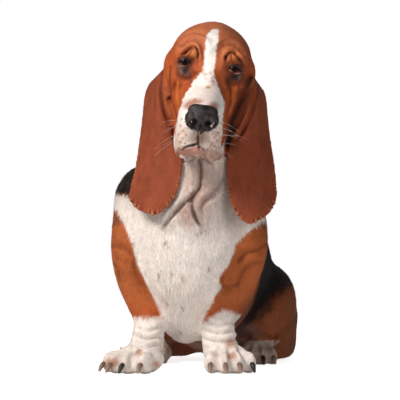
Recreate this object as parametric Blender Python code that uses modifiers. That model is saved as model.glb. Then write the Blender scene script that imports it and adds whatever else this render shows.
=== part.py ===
"""A basset hound at life size, sitting and looking at whoever stands in front of it.

Metres, +Z up, standing on the floor at Z = 0. The hound looks along -Y, so its own right is at -X.
Left and right in the names are the hound's own. The head has a frame of its own, with its origin midway
between the eyes, -Y along the muzzle and +Z out of the crown, which HEAD_POSE then tips and places.
"""

import math

import bmesh
import bpy
import numpy as np
from mathutils import Euler, Matrix, Vector
from mathutils.bvhtree import BVHTree

GAP = 0.0003  # between touching pieces
TO_ORIGIN = Vector((-0.0025, -0.1735, 0.0))  # from between the forelegs to the middle of the whole
VOXEL = 0.0030

# The head: where it is, and how far it is tipped down and leant over
EYES_MIDDLE = Vector((0.016, -0.062, 0.4900))
HEAD_NOD = math.radians(30.0)
HEAD_LEAN = math.radians(8.0)
HEAD_POSE = Matrix.Translation(EYES_MIDDLE) @ Euler((HEAD_NOD, HEAD_LEAN, 0.0), "XYZ").to_matrix().to_4x4()

# The head's own sizes, in the head's frame
EYE = Vector((0.0385, -0.014, 0.0045))  # the middle of the left eye; the right one mirrors it
EYE_RADIUS = 0.0125
EYE_OPEN = (0.0112, 0.0082)  # half the width and half the height between the lids
NOSE = Vector((0.0, -0.1280, -0.0345))
EAR_THICK = 0.0044

COATS = {"white coat": (0.80, 0.72, 0.66), "tan coat": (0.47, 0.13, 0.045), "black coat": (0.018, 0.012, 0.010)}

HEAD_TRIANGLES = 12500  # of the whole hound, where the head is taken from it
BODY_TRIANGLES = 5200
EAR_TRIANGLES = 800

# The body
BODY_TURN = math.radians(10.0)  # the rump stands to the hound's left of its chest
PELVIS = Vector((0.045, 0.330, 0.0))


def clear_scene():
    for obj in list(bpy.data.objects):
        bpy.data.objects.remove(obj, do_unlink=True)


def collection_named(name, hidden=False):
    made = bpy.data.collections.new(name)
    made.hide_render = hidden
    bpy.context.scene.collection.children.link(made)
    return made


def object_from(bm, name, collection):
    mesh = bpy.data.meshes.new(name)
    bmesh.ops.recalc_face_normals(bm, faces=bm.faces)
    bm.to_mesh(mesh)
    bm.free()
    obj = bpy.data.objects.new(name, mesh)
    collection.objects.link(obj)
    return obj


def ball(centre, radii, turn=(0.0, 0.0, 0.0), segments=28):
    """A closed ellipsoid, as a bmesh. turn is in degrees."""
    bm = bmesh.new()
    bmesh.ops.create_uvsphere(bm, u_segments=segments, v_segments=segments // 2 + 2, radius=1.0)
    rotation = Euler([math.radians(a) for a in turn], "XYZ").to_matrix().to_4x4()
    place = Matrix.Translation(Vector(centre)) @ rotation @ Matrix.Diagonal((*radii, 1.0))
    bmesh.ops.transform(bm, matrix=place, verts=bm.verts)
    return bm


def along(stations, steps):
    """Stations of numbers joined by a smooth Catmull-Rom curve, steps to a span."""
    p = np.array(stations, float)
    p = np.vstack([2 * p[0] - p[1], p, 2 * p[-1] - p[-2]])
    rows = []
    for i in range(1, len(p) - 2):
        for t in np.arange(steps) / steps:
            rows.append(
                0.5 * (2 * p[i] + (p[i + 1] - p[i - 1]) * t
                       + (2 * p[i - 1] - 5 * p[i] + 4 * p[i + 1] - p[i + 2]) * t * t
                       + (3 * p[i] - p[i - 1] - 3 * p[i + 1] + p[i + 2]) * t ** 3)
            )
    rows.append(p[-2])
    return np.array(rows)


def tube(stations, side=(1.0, 0.0, 0.0), steps=6, sides=24, square=2.0, narrow_top=0.0):
    """A closed loft through (x, y, z, half width, half height) stations, as a bmesh.

    side is the direction of the width. square above 2 fills the section's corners, and
    narrow_top makes each section that share narrower at its top and wider at its foot.
    """
    rows = along(stations, steps)
    centres = rows[:, :3]
    tangents = np.gradient(centres, axis=0)
    bm = bmesh.new()
    rings = []
    last_up = Vector((0, 0, 1))
    for centre, tangent, (a, b) in zip(centres, tangents, rows[:, 3:5]):
        t = Vector(tangent).normalized()
        up = Vector(side).cross(t).normalized()
        if up.dot(last_up) < 0:
            up = -up
        last_up = up
        across = t.cross(up).normalized()
        ring = []
        for k in range(sides):
            angle = 2 * math.pi * k / sides
            c, s = math.cos(angle), math.sin(angle)
            u = math.copysign(abs(c) ** (2 / square), c)
            v = math.copysign(abs(s) ** (2 / square), s)
            wide = a * (1 - narrow_top * v)
            ring.append(bm.verts.new(Vector(centre) + across * (u * wide) + up * (v * b)))
        rings.append(ring)
    for first, second in zip(rings, rings[1:]):
        for k in range(sides):
            j = (k + 1) % sides
            bm.faces.new((first[k], first[j], second[j], second[k]))
    bm.faces.new(rings[0])
    bm.faces.new(rings[-1])
    bmesh.ops.recalc_face_normals(bm, faces=bm.faces)
    return bm


def fused(name, pieces, voxel, collection):
    """The pieces as one closed skin of even faces."""
    whole = bmesh.new()
    for piece in pieces:
        mesh = bpy.data.meshes.new("piece")
        piece.to_mesh(mesh)
        piece.free()
        whole.from_mesh(mesh)
        bpy.data.meshes.remove(mesh)
    obj = object_from(whole, name, collection)
    remesh = obj.modifiers.new("remesh", "REMESH")
    remesh.mode = "VOXEL"
    remesh.voxel_size = voxel
    remesh.adaptivity = 0.0
    settle(obj)
    return obj


def settle(obj):
    """Applies the object's modifiers."""
    graph = bpy.context.evaluated_depsgraph_get()
    mesh = bpy.data.meshes.new_from_object(obj.evaluated_get(graph))
    obj.modifiers.clear()
    old = obj.data
    obj.data = mesh
    bpy.data.meshes.remove(old)


def points_of(obj):
    co = np.empty(len(obj.data.vertices) * 3)
    obj.data.vertices.foreach_get("co", co)
    return co.reshape(-1, 3)


def normals_of(obj):
    obj.data.update()
    no = np.empty(len(obj.data.vertices) * 3)
    obj.data.vertices.foreach_get("normal", no)
    return no.reshape(-1, 3)


def put_points(obj, co):
    obj.data.vertices.foreach_set("co", co.astype(np.float32).ravel())
    obj.data.update()


def fill_creases(obj, rounds, share=None, smooth=0.15):
    """Fills the sharp inner corners where pieces meet, as skin does, and leaves what bulges alone."""
    edges = np.empty(len(obj.data.edges) * 2, np.int64)
    obj.data.edges.foreach_get("vertices", edges)
    a, b = edges.reshape(-1, 2).T
    co = points_of(obj)
    count = np.bincount(a, minlength=len(co)) + np.bincount(b, minlength=len(co))
    share = np.ones(len(co)) if share is None else share
    for _ in range(rounds):
        mean = np.empty_like(co)
        for k in range(3):
            mean[:, k] = (np.bincount(a, co[b, k], len(co)) + np.bincount(b, co[a, k], len(co))) / count
        step = mean - co
        out = np.einsum("ij,ij->i", step, normals_of(obj))
        strength = np.where(out > 0, 0.7, smooth) * share
        co = co + step * strength[:, None]
        put_points(obj, co)


def nearest_on(points, line, steps=8):
    """Each point's distance to the curve through line, and how far along it that is, from 0 to 1."""
    curve = along(line, steps)
    best = np.full(len(points), 1e9)
    where = np.zeros(len(points))
    for i in range(len(curve) - 1):
        a, d = curve[i], curve[i + 1] - curve[i]
        t = np.clip((points - a) @ d / (d @ d), 0, 1)
        gap = np.linalg.norm(points - a - t[:, None] * d, axis=1)
        closer = gap < best
        best[closer] = gap[closer]
        where[closer] = (i + t[closer]) / (len(curve) - 1)
    return best, where


def crease(obj, frame, line, width, depth, lip=0.4, faded=0.15):
    """Presses a fold into the surface along line, given in frame, with a raised lip on both sides."""
    co = points_of(obj)
    local = co @ np.array(frame.inverted().to_3x3()).T + np.array(frame.inverted().translation)
    line = [local[np.argmin(((local - np.array(p)) ** 2).sum(axis=1))] for p in along(line, 3)]
    gap, where = nearest_on(local, line, 2)
    fade = np.clip(np.minimum(where, 1 - where) / faded, 0.0, 1.0)
    push = -depth * np.exp(-(gap / width) ** 2) + lip * depth * np.exp(-((gap - 2.0 * width) / width) ** 2)
    put_points(obj, co + normals_of(obj) * (push * fade)[:, None])


def thinned(obj, triangles):
    """Fewer faces, kept where the surface bends, with what lies on the floor kept flat."""
    decimate = obj.modifiers.new("thin", "DECIMATE")
    count = sum(len(p.vertices) - 2 for p in obj.data.polygons)
    decimate.ratio = min(1.0, triangles / count)
    decimate.use_collapse_triangulate = True
    settle(obj)
    co = points_of(obj)
    co[:, 2] = np.where(co[:, 2] < 0.0008, 0.0, co[:, 2])
    put_points(obj, co)


def boolean(obj, cutter, operation, solver="MANIFOLD"):
    modifier = obj.modifiers.new("cut", "BOOLEAN")
    modifier.operation = operation
    modifier.solver = solver
    modifier.object = cutter
    settle(obj)


def grown(obj, by, collection):
    """A copy of the object whose surface stands that far out."""
    copy = obj.copy()
    copy.data = obj.data.copy()
    collection.objects.link(copy)
    put_points(copy, points_of(obj) + normals_of(obj) * by)
    return copy


def tree_of(obj):
    return BVHTree.FromPolygons([v.co for v in obj.data.vertices], [p.vertices for p in obj.data.polygons])


def largest_only(obj):
    """Keeps only the largest closed surface of the object."""
    bm = bmesh.new()
    bm.from_mesh(obj.data)
    bm.verts.ensure_lookup_table()
    seen = set()
    shells = []
    for start in bm.verts:
        if start.index in seen:
            continue
        shell, todo = [], [start]
        seen.add(start.index)
        while todo:
            vert = todo.pop()
            shell.append(vert)
            for edge in vert.link_edges:
                other = edge.other_vert(vert)
                if other.index not in seen:
                    seen.add(other.index)
                    todo.append(other)
        shells.append(shell)
    shells.sort(key=len)
    for shell in shells[:-1]:
        bmesh.ops.delete(bm, geom=shell, context="VERTS")
    bmesh.ops.triangulate(bm, faces=bm.faces)
    bm.to_mesh(obj.data)
    bm.free()


def paint(obj, name, colour, roughness=0.8):
    material = bpy.data.materials.get(name) or bpy.data.materials.new(name)
    material.use_nodes = True
    shader = material.node_tree.nodes["Principled BSDF"]
    shader.inputs["Base Color"].default_value = (*colour, 1.0)
    shader.inputs["Roughness"].default_value = roughness
    obj.data.materials.clear()
    obj.data.materials.append(material)


def body_point(lateral, back, height):
    """A point beside the pelvis: lateral to the hound's left, back towards its tail."""
    c, s = math.cos(BODY_TURN), math.sin(BODY_TURN)
    return (PELVIS.x + back * s + lateral * c, PELVIS.y + back * c - lateral * s, height)


def torso_pieces():
    """The barrel of the chest and loin, the breast, the neck with its dewlap, and the belly."""
    barrel = tube([
        (-0.018, -0.060, 0.236, 0.026, 0.036),
        (-0.018, -0.046, 0.230, 0.068, 0.082),
        (-0.017, -0.006, 0.214, 0.096, 0.122),
        (-0.013, 0.060, 0.198, 0.112, 0.144),
        (0.000, 0.150, 0.172, 0.116, 0.138),
        (0.018, 0.240, 0.142, 0.110, 0.128),
        (0.036, 0.330, 0.106, 0.098, 0.107),
        (0.046, 0.390, 0.080, 0.075, 0.080),
        (0.052, 0.425, 0.068, 0.030, 0.040),
    ], narrow_top=-0.14)
    keel = tube([
        (-0.018, -0.040, 0.205, 0.030, 0.030),
        (-0.020, -0.020, 0.150, 0.048, 0.044),
        (-0.022, 0.020, 0.100, 0.046, 0.046),
        (-0.020, 0.070, 0.086, 0.044, 0.044),
        (-0.014, 0.110, 0.090, 0.030, 0.030),
    ])
    neck = tube([
        (-0.012, 0.190, 0.250, 0.030, 0.030),
        (-0.010, 0.155, 0.275, 0.082, 0.078),
        (-0.004, 0.110, 0.335, 0.090, 0.092),
        (0.006, 0.060, 0.400, 0.074, 0.078),
        (0.013, 0.026, 0.455, 0.064, 0.061),
        (0.016, 0.006, 0.495, 0.050, 0.045),
        (0.016, 0.000, 0.515, 0.020, 0.022),
    ])
    withers = ball((0.005, 0.162, 0.266), (0.088, 0.138, 0.074), (-32, 0, 0))
    throat = tube([
        (0.015, 0.010, 0.450, 0.020, 0.016),
        (0.014, -0.002, 0.425, 0.040, 0.030),
        (0.010, -0.022, 0.380, 0.043, 0.032),
        (0.004, -0.036, 0.330, 0.046, 0.034),
        (-0.006, -0.044, 0.280, 0.050, 0.034),
        (-0.014, -0.044, 0.235, 0.052, 0.034),
        (-0.018, -0.036, 0.200, 0.046, 0.028),
        (-0.019, -0.026, 0.180, 0.020, 0.014),
    ])
    shoulders = []
    for x in (-0.088, 0.054):
        shoulders.append(ball((x, 0.036, 0.252), (0.054, 0.068, 0.084)))
    return [barrel, keel, neck, withers, throat] + shoulders


# The hound's forelegs: right, then left. Each station is a point of the leg's middle with its half
# width and half depth, from the shoulder down to the knee that the hound walks on.
FORELEGS = {
    "right": [
        (-0.094, 0.034, 0.300, 0.020, 0.028),
        (-0.100, 0.032, 0.255, 0.040, 0.050),
        (-0.109, 0.014, 0.200, 0.038, 0.050),
        (-0.108, 0.018, 0.150, 0.030, 0.038),
        (-0.097, 0.012, 0.115, 0.0255, 0.031),
        (-0.084, 0.000, 0.085, 0.0250, 0.028),
        (-0.084, -0.006, 0.055, 0.0275, 0.030),
        (-0.090, -0.012, 0.028, 0.0300, 0.034),
    ],
    "left": [
        (0.062, 0.034, 0.300, 0.020, 0.028),
        (0.067, 0.032, 0.255, 0.040, 0.050),
        (0.074, 0.014, 0.200, 0.038, 0.050),
        (0.066, 0.018, 0.150, 0.030, 0.038),
        (0.046, 0.012, 0.115, 0.0255, 0.031),
        (0.030, 0.000, 0.085, 0.0255, 0.028),
        (0.030, -0.006, 0.055, 0.0280, 0.030),
        (0.034, -0.012, 0.028, 0.0300, 0.034),
    ],
}

# Each paw: the middle of its pad, how far its toes turn out, its half width, and its toes' height
PAWS = {
    "forepaw_right": ((-0.097, -0.030, 0.0), -36.0, 0.045, 1.0),
    "forepaw_left": ((0.044, -0.030, 0.0), 8.0, 0.041, 1.0),
    "hindpaw_left": ((0.098, 0.188, 0.0), 0.0, 0.034, 0.85),
    "hindpaw_right": ((-0.078, 0.215, 0.0), -22.0, 0.034, 0.85),
}
TOES = 4


def toe_places(paw):
    """Each toe's (middle, heading in radians, half width, half length, half height)."""
    (x, y, _), turn, half, high = PAWS[paw]
    places = []
    for k in range(TOES):
        s = (k - (TOES - 1) / 2) / ((TOES - 1) / 2)  # -1 outermost on the hound's right, 1 on its left
        heading = math.radians(turn + 13.0 * s)
        reach = half * (0.92 - 0.34 * s * s)
        sideways = half * 0.72 * s
        c, w = math.cos(math.radians(turn)), math.sin(math.radians(turn))
        place = (x + sideways * c + reach * w, y + sideways * w - reach * c, 0.017 * high)
        places.append((place, heading, half * 0.31, half * 0.52, 0.020 * high))
    return places


def paw_pieces(paw):
    (x, y, _), turn, half, high = PAWS[paw]
    pieces = [ball((x, y, 0.022 * high), (half * 0.92, half * 0.95, 0.026 * high), (0, 0, turn))]
    for (px, py, pz), heading, a, b, h in toe_places(paw):
        pieces.append(ball((px, py, pz), (a, b, h), (0, 0, math.degrees(heading)), 20))
    return pieces


def hindleg_pieces(side):
    """A thigh and knee folded forwards, the shin going back to the hock, and the foot on the floor."""
    q = 1.0 if side == "left" else -1.0
    thigh = tube([
        (*body_point(q * 0.050, 0.020, 0.110), 0.050, 0.060),
        (*body_point(q * 0.076, -0.020, 0.108), 0.054, 0.066),
        (*body_point(q * 0.088, -0.070, 0.096), 0.048, 0.060),
        (*body_point(q * 0.084, -0.115, 0.080), 0.038, 0.046),
        (*body_point(q * 0.080, -0.145, 0.070), 0.018, 0.024),
    ])
    seat = ball(body_point(q * 0.078, 0.005, 0.074), (0.054, 0.080, 0.072))
    shin = tube([
        (*body_point(q * 0.092, -0.110, 0.062), 0.026, 0.034),
        (*body_point(q * 0.104, -0.060, 0.048), 0.028, 0.034),
        (*body_point(q * 0.108, -0.010, 0.034), 0.024, 0.028),
        (*body_point(q * 0.108, 0.025, 0.026), 0.019, 0.024),
    ])
    (x, y, _), _, _, _ = PAWS[f"hindpaw_{side}"]
    foot = tube([
        (*body_point(q * 0.108, 0.030, 0.022), 0.018, 0.021),
        (*body_point(q * 0.107, -0.040, 0.022), 0.020, 0.021),
        (x, y + 0.025, 0.024, 0.025, 0.023),
        (x, y, 0.023, 0.025, 0.020),
    ])
    return [thigh, seat, shin, foot]


TAIL = [
    (*body_point(0.000, 0.070, 0.060), 0.026, 0.030),
    (*body_point(-0.010, 0.115, 0.034), 0.020, 0.024),
    (*body_point(-0.050, 0.150, 0.019), 0.0165, 0.0185),
    (*body_point(-0.110, 0.158, 0.016), 0.0145, 0.0155),
    (*body_point(-0.165, 0.146, 0.013), 0.0115, 0.0125),
    (*body_point(-0.208, 0.118, 0.010), 0.0080, 0.0090),
    (*body_point(-0.222, 0.100, 0.008), 0.0035, 0.0040),
]


def body_pieces():
    pieces = torso_pieces()
    for side in FORELEGS:
        pieces.append(tube(FORELEGS[side], side=(1.0, 0.0, 0.0)))
        pieces += hindleg_pieces(side)
    for paw in PAWS:
        pieces += paw_pieces(paw)
    pieces.append(tube(TAIL, side=(0.0, 0.0, 1.0)))
    return pieces


def in_head(co):
    """World points in the head's frame."""
    back = HEAD_POSE.inverted()
    return co @ np.array(back.to_3x3()).T + np.array(back.translation)


def head_pieces():
    """The skull, brows, cheeks, the roots of the ears, the muzzle with its hanging lips, and the lower jaw."""
    pieces = [
        ball((0, 0.040, -0.005), (0.066, 0.080, 0.054)),
        ball((0, 0.086, 0.002), (0.044, 0.044, 0.034)),
        ball((0, 0.066, -0.044), (0.058, 0.064, 0.050)),
        ball((0, -0.022, -0.002), (0.022, 0.030, 0.016)),
    ]
    for q in (-1, 1):
        pieces.append(ball((q * 0.044, 0.016, -0.024), (0.026, 0.044, 0.032)))
        pieces.append(ball((q * 0.0580, 0.036, -0.026), (0.0185, 0.030, 0.030)))
        pieces.append(ball((q * 0.034, 0.004, 0.012), (0.027, 0.024, 0.019)))
        pieces.append(ball((q * EYE.x, EYE.y + 0.0020, EYE.z), (0.0160, 0.0150, 0.0150)))
        pieces.append(tube([
            (q * 0.050, 0.050, -0.020, 0.016, 0.030),
            (q * 0.046, 0.026, -0.044, 0.018, 0.036),
            (q * 0.040, -0.006, -0.062, 0.016, 0.034),
            (q * 0.034, -0.040, -0.072, 0.012, 0.026),
        ]))
    pieces.append(tube([
        (0, 0.030, -0.046, 0.046, 0.045),
        (0, -0.010, -0.050, 0.042, 0.044),
        (0, -0.050, -0.054, 0.039, 0.044),
        (0, -0.094, -0.0565, 0.0375, 0.0470),
        (0, -0.121, -0.0560, 0.0355, 0.0465),
        (0, -0.136, -0.0545, 0.028, 0.038),
        (0, -0.142, -0.052, 0.012, 0.017),
    ], square=2.6, narrow_top=0.26))
    for q in (-1, 1):
        pieces.append(tube([
            (q * 0.009, -0.131, -0.068, 0.009, 0.015),
            (q * 0.021, -0.123, -0.078, 0.012, 0.025),
            (q * 0.0280, -0.099, -0.088, 0.012, 0.030),
            (q * 0.0310, -0.062, -0.092, 0.012, 0.030),
            (q * 0.0335, -0.022, -0.085, 0.012, 0.026),
            (q * 0.0350, 0.010, -0.070, 0.010, 0.020),
        ]))
    pieces.append(tube([
        (0, 0.040, -0.080, 0.036, 0.020),
        (0, -0.020, -0.093, 0.028, 0.018),
        (0, -0.077, -0.098, 0.023, 0.015),
        (0, -0.110, -0.099, 0.019, 0.012),
        (0, -0.121, -0.097, 0.008, 0.006),
    ]))
    for piece in pieces:
        bmesh.ops.transform(piece, matrix=HEAD_POSE, verts=piece.verts)
    return pieces


# The line between the lips: from under the nose down the middle, and back along each hanging lip
LIP_LINE = [
    (0.000, -0.145, -0.070),
    (0.010, -0.141, -0.076),
    (0.020, -0.131, -0.088),
    (0.027, -0.110, -0.106),
    (0.029, -0.068, -0.114),
    (0.030, -0.024, -0.104),
]


# The dewlap's long crease, which forks over the breast: its trunk with one branch, and the other
DEWLAP_LINES = [
    [(-0.001, -0.075, 0.349), (0.0016, -0.078, 0.314), (-0.001, -0.080, 0.296), (-0.011, -0.080, 0.282),
     (-0.032, -0.078, 0.264), (-0.060, -0.062, 0.233)],
    [(-0.010, -0.080, 0.285), (-0.012, -0.080, 0.268), (-0.008, -0.080, 0.250), (0.0095, -0.080, 0.230)],
]


def mirrored(line, q):
    return [(q * x, y, z) for x, y, z in line]


def make_hound(collection):
    """The whole hound but its ears as one skin: hollows filled, feet flat, and the face's folds pressed in."""
    hound = fused("hound", body_pieces() + head_pieces(), VOXEL, collection)
    co = points_of(hound)
    z = in_head(co)
    face = (z[:, 1] < 0.060) & (z[:, 2] > -0.125) & (co[:, 2] > 0.30)
    share = np.where(face, 0.35, np.clip((co[:, 2] - 0.040) / 0.060, 0.06, 1.0))
    fill_creases(hound, 60, share)
    fill_creases(hound, 12, np.where(face, 0.15, share), smooth=0.7)
    co = points_of(hound)
    co[:, 2] = np.maximum(co[:, 2], 0.0)
    put_points(hound, co)
    for line in DEWLAP_LINES:
        crease(hound, Matrix(), line, 0.0065, 0.0055, 0.5)
    middle = [(0, -0.145, -0.046), (0, -0.146, -0.058), (0, -0.145, -0.072)]
    crease(hound, HEAD_POSE, middle, 0.0022, 0.0022)
    for q in (-1, 1):
        crease(hound, HEAD_POSE, mirrored(LIP_LINE, q), 0.0028, 0.0038, 0.15)
        brow = [(0.020, -0.028, 0.010), (0.029, -0.024, 0.018), (0.042, -0.016, 0.020), (0.056, 0.000, 0.010)]
        crease(hound, HEAD_POSE, mirrored(brow, q), 0.0032, 0.0028, 0.6)
        brow = [(0.013, -0.022, 0.022), (0.028, -0.012, 0.032), (0.044, 0.002, 0.034), (0.058, 0.018, 0.022)]
        crease(hound, HEAD_POSE, mirrored(brow, q), 0.0038, 0.0024, 0.6)
        pouch = [(0.022, -0.034, -0.014), (0.034, -0.032, -0.022), (0.048, -0.018, -0.018), (0.056, -0.004, -0.006)]
        crease(hound, HEAD_POSE, mirrored(pouch, q), 0.0032, 0.0028, 0.6)
    return hound


def make_eye(name, q, collection):
    centre = HEAD_POSE @ Vector((q * EYE.x, EYE.y, EYE.z))
    return object_from(ball(centre, (EYE_RADIUS,) * 3, segments=16), name, collection)


def open_lids(head, q, hidden):
    """Cuts the almond between the lids, with its outer corner low, and the room that the eye sits in."""
    cutter = ball((q * (EYE.x + 0.001), EYE.y - 0.0100, EYE.z + 0.0035), (EYE_OPEN[0], 0.0105, EYE_OPEN[1]),
                  (0, q * 10, 0), 16)
    bmesh.ops.transform(cutter, matrix=HEAD_POSE, verts=cutter.verts)
    almond = object_from(cutter, "lid_opening", hidden)
    boolean(head, almond, "DIFFERENCE")


def make_nose(collection, hidden):
    """The nose pad with its two nostrils, each open to the side."""
    x, y, z = NOSE
    pieces = [
        ball((x, y + 0.002, z), (0.0235, 0.0165, 0.0185)),
        ball((x, y + 0.008, z + 0.008), (0.0245, 0.0155, 0.0125)),
        ball((x, y - 0.004, z - 0.014), (0.0110, 0.0110, 0.0110)),
    ]
    for q in (-1, 1):
        pieces.append(ball((x + q * 0.0155, y + 0.000, z - 0.001), (0.0112, 0.0140, 0.0130)))
    for piece in pieces:
        bmesh.ops.transform(piece, matrix=HEAD_POSE, verts=piece.verts)
    nose = fused("nose", pieces, 0.0014, collection)
    fill_creases(nose, 6)
    thinned(nose, 320)
    for q in (-1, 1):
        hole = tube([
            (x + q * 0.0088, y - 0.0220, z - 0.0010, 0.0034, 0.0042),
            (x + q * 0.0092, y - 0.0100, z - 0.0010, 0.0040, 0.0048),
            (x + q * 0.0084, y - 0.0030, z - 0.0005, 0.0028, 0.0032),
        ], steps=1, sides=10)
        slit = ball((x + q * 0.0170, y - 0.0110, z - 0.0045), (0.0088, 0.0075, 0.0020), (0, q * 22, 0), 10)
        for piece in (hole, slit):
            bmesh.ops.transform(piece, matrix=HEAD_POSE, verts=piece.verts)
            boolean(nose, object_from(piece, "nostril", hidden), "DIFFERENCE")
    largest_only(nose)
    return nose


# Each ear from its root to its tip: height, the x of its front edge and of its back edge, how far
# forward it hangs, how far its middle bulges, its front edge rolls under and its back edge wraps round
EARS = {
    "ear_right": [
        (0.503, -0.048, -0.056, -0.002, 0.000, 0.000, 0.044),
        (0.492, -0.0505, -0.066, -0.008, 0.003, 0.002, 0.052),
        (0.474, -0.0515, -0.0830, -0.018, 0.008, 0.004, 0.058),
        (0.450, -0.0495, -0.0900, -0.028, 0.010, 0.005, 0.062),
        (0.424, -0.0450, -0.0920, -0.037, 0.011, 0.006, 0.062),
        (0.392, -0.0405, -0.0950, -0.048, 0.011, 0.008, 0.058),
        (0.360, -0.0256, -0.0990, -0.058, 0.010, 0.009, 0.050),
        (0.328, -0.0270, -0.1035, -0.068, 0.007, 0.005, 0.044),
        (0.296, -0.0320, -0.1110, -0.076, 0.005, 0.002, 0.040),
        (0.275, -0.0420, -0.1125, -0.079, 0.004, 0.001, 0.032),
        (0.259, -0.0560, -0.0980, -0.080, 0.002, 0.000, 0.016),
        (0.251, -0.0680, -0.0760, -0.081, 0.000, 0.000, 0.000),
    ],
    "ear_left": [
        (0.495, 0.073, 0.080, -0.002, 0.000, 0.000, 0.044),
        (0.482, 0.0755, 0.090, -0.008, 0.003, 0.002, 0.052),
        (0.462, 0.0745, 0.1035, -0.018, 0.008, 0.004, 0.058),
        (0.446, 0.0705, 0.1075, -0.028, 0.010, 0.005, 0.062),
        (0.424, 0.0635, 0.1090, -0.037, 0.011, 0.006, 0.062),
        (0.392, 0.0520, 0.1115, -0.048, 0.011, 0.008, 0.058),
        (0.362, 0.0420, 0.1150, -0.058, 0.010, 0.009, 0.050),
        (0.328, 0.0415, 0.1195, -0.068, 0.007, 0.005, 0.044),
        (0.285, 0.0445, 0.1230, -0.077, 0.005, 0.002, 0.038),
        (0.262, 0.0510, 0.1160, -0.080, 0.004, 0.001, 0.026),
        (0.246, 0.0620, 0.1010, -0.081, 0.002, 0.000, 0.012),
        (0.237, 0.0735, 0.0815, -0.082, 0.000, 0.000, 0.000),
    ],
}
EAR_COLUMNS = 9
ROOT_ROWS = 4  # rows of the leaf that run into the head
ROOT_SLOPE = 0.008  # how much lower the back of an ear's root is than its front


def held_off(point, tree, clear):
    """The point, or where it comes to when pushed straight out of the surface to that distance."""
    near, normal, _, distance = tree.find_nearest(point)
    if (point - near).dot(normal) < 0 or distance < clear:
        return near + normal * clear
    return point


def make_ear(name, body_tree, hound_tree, collection):
    """A hanging ear: one leaf, arched forwards, its front edge rolled in, laid over neck and shoulder."""
    rows = along(EARS[name], 2)
    clear = EAR_THICK / 2 + 0.0022
    bm = bmesh.new()
    grid = []
    for z, front, back, y, bulge, roll, wrap in rows:
        line = []
        for k in range(EAR_COLUMNS):
            s = k / (EAR_COLUMNS - 1)
            x = front + (back - front) * s
            at = y - bulge * math.sin(math.pi * s) + roll * max(0.0, 1 - s / 0.45) ** 2 + wrap * s * s
            hit = body_tree.ray_cast(Vector((x, -1.0, z)), Vector((0, 1, 0)))[0]
            if hit is not None:
                at = min(at, hit.y - clear)
            low = ROOT_SLOPE * s * min(1.0, max(0.0, (z - 0.40) / 0.09))
            line.append([x, at, z - low])
        grid.append(line)
    grid = np.array(grid)
    for _ in range(4):
        calm = grid.copy()
        calm[1:-1] = (grid[:-2] + 2 * grid[1:-1] + grid[2:]) / 4
        calm[:, 1:-1] = (calm[:, :-2] + 2 * calm[:, 1:-1] + calm[:, 2:]) / 4
        grid[:, :, 1] = calm[:, :, 1]
        for i in range(ROOT_ROWS, len(grid)):
            for k in range(EAR_COLUMNS):
                grid[i, k] = held_off(Vector(grid[i, k]), hound_tree, clear)
    verts = [[bm.verts.new(point) for point in line] for line in grid]
    for first, second in zip(verts, verts[1:]):
        for k in range(EAR_COLUMNS - 1):
            bm.faces.new((first[k], first[k + 1], second[k + 1], second[k]))
    bmesh.ops.triangulate(bm, faces=bm.faces)
    ear = object_from(bm, name, collection)
    solidify = ear.modifiers.new("leaf", "SOLIDIFY")
    solidify.thickness = EAR_THICK
    solidify.offset = 0.0
    remesh = ear.modifiers.new("remesh", "REMESH")
    remesh.mode = "VOXEL"
    remesh.voxel_size = EAR_THICK / 3
    settle(ear)
    thinned(ear, EAR_TRIANGLES)
    return ear


def make_claws(paw, collection):
    """A curved claw at the end of each toe of a paw, leaning down to just clear of the floor."""
    claws = []
    high = PAWS[paw][3]
    for k, ((x, y, z), heading, a, b, h) in enumerate(toe_places(paw)):
        c, w = math.cos(heading), math.sin(heading)

        def ahead(reach, height, wide, deep):
            return (x + reach * w, y - reach * c, height * high, wide, deep)

        claw = tube([
            ahead(b * 0.62, 0.0165, 0.0034, 0.0038),
            ahead(b * 0.92, 0.0150, 0.0040, 0.0044),
            ahead(b * 1.20, 0.0105, 0.0032, 0.0036),
            ahead(b * 1.20 + 0.006, 0.0030, 0.0010, 0.0012),
        ], side=(c, w, 0.0), steps=1, sides=6)
        claws.append(object_from(claw, f"claw_{paw}_{k + 1}", collection))
    return claws


def slab(name, point, normal, hidden, size=(1.0, 1.0, 1.0)):
    """A block whose lower face lies at point, square to normal, as a cutter."""
    bm = bmesh.new()
    bmesh.ops.create_cube(bm, size=1.0)
    turn = Vector((0, 0, 1)).rotation_difference(Vector(normal)).to_matrix().to_4x4()
    place = Matrix.Translation(Vector(point)) @ turn @ Matrix.Diagonal((*size, 1.0))
    bmesh.ops.transform(bm, matrix=place @ Matrix.Translation((0, 0, 0.5)), verts=bm.verts)
    return object_from(bm, name, hidden)


def block(name, corners, hidden, frame=None):
    """A box between two corners of a frame, as a cutter."""
    low, high = Vector(corners[0]), Vector(corners[1])
    bm = bmesh.new()
    bmesh.ops.create_cube(bm, size=1.0)
    place = Matrix.Translation((low + high) / 2) @ Matrix.Diagonal((*(high - low), 1.0))
    bmesh.ops.transform(bm, matrix=(frame or Matrix()) @ place, verts=bm.verts)
    return object_from(bm, name, hidden)


def head_block(hidden):
    """The head's share of the hound: all in front of a cut that runs from behind the skull to the jaw's angle."""
    cutter = block("cut_head", ((-0.12, 0.040, -0.127), (0.12, -0.200, 0.120)), hidden)
    for vert in cutter.data.vertices:
        if vert.co.y > 0:
            vert.co.y = 0.125 if vert.co.z > 0 else 0.012
    cutter.data.transform(HEAD_POSE)
    return cutter


def part_off(rest, name, cutter, collection, hidden):
    """Takes what lies inside the cutter off the rest, as a node of its own, and leaves the gap."""
    piece = rest.copy()
    piece.data = rest.data.copy()
    piece.name = name
    collection.objects.link(piece)
    boolean(piece, cutter, "INTERSECT")
    boolean(rest, grown_flat(cutter, GAP, hidden), "DIFFERENCE")
    largest_only(piece)
    largest_only(rest)
    return piece


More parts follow.
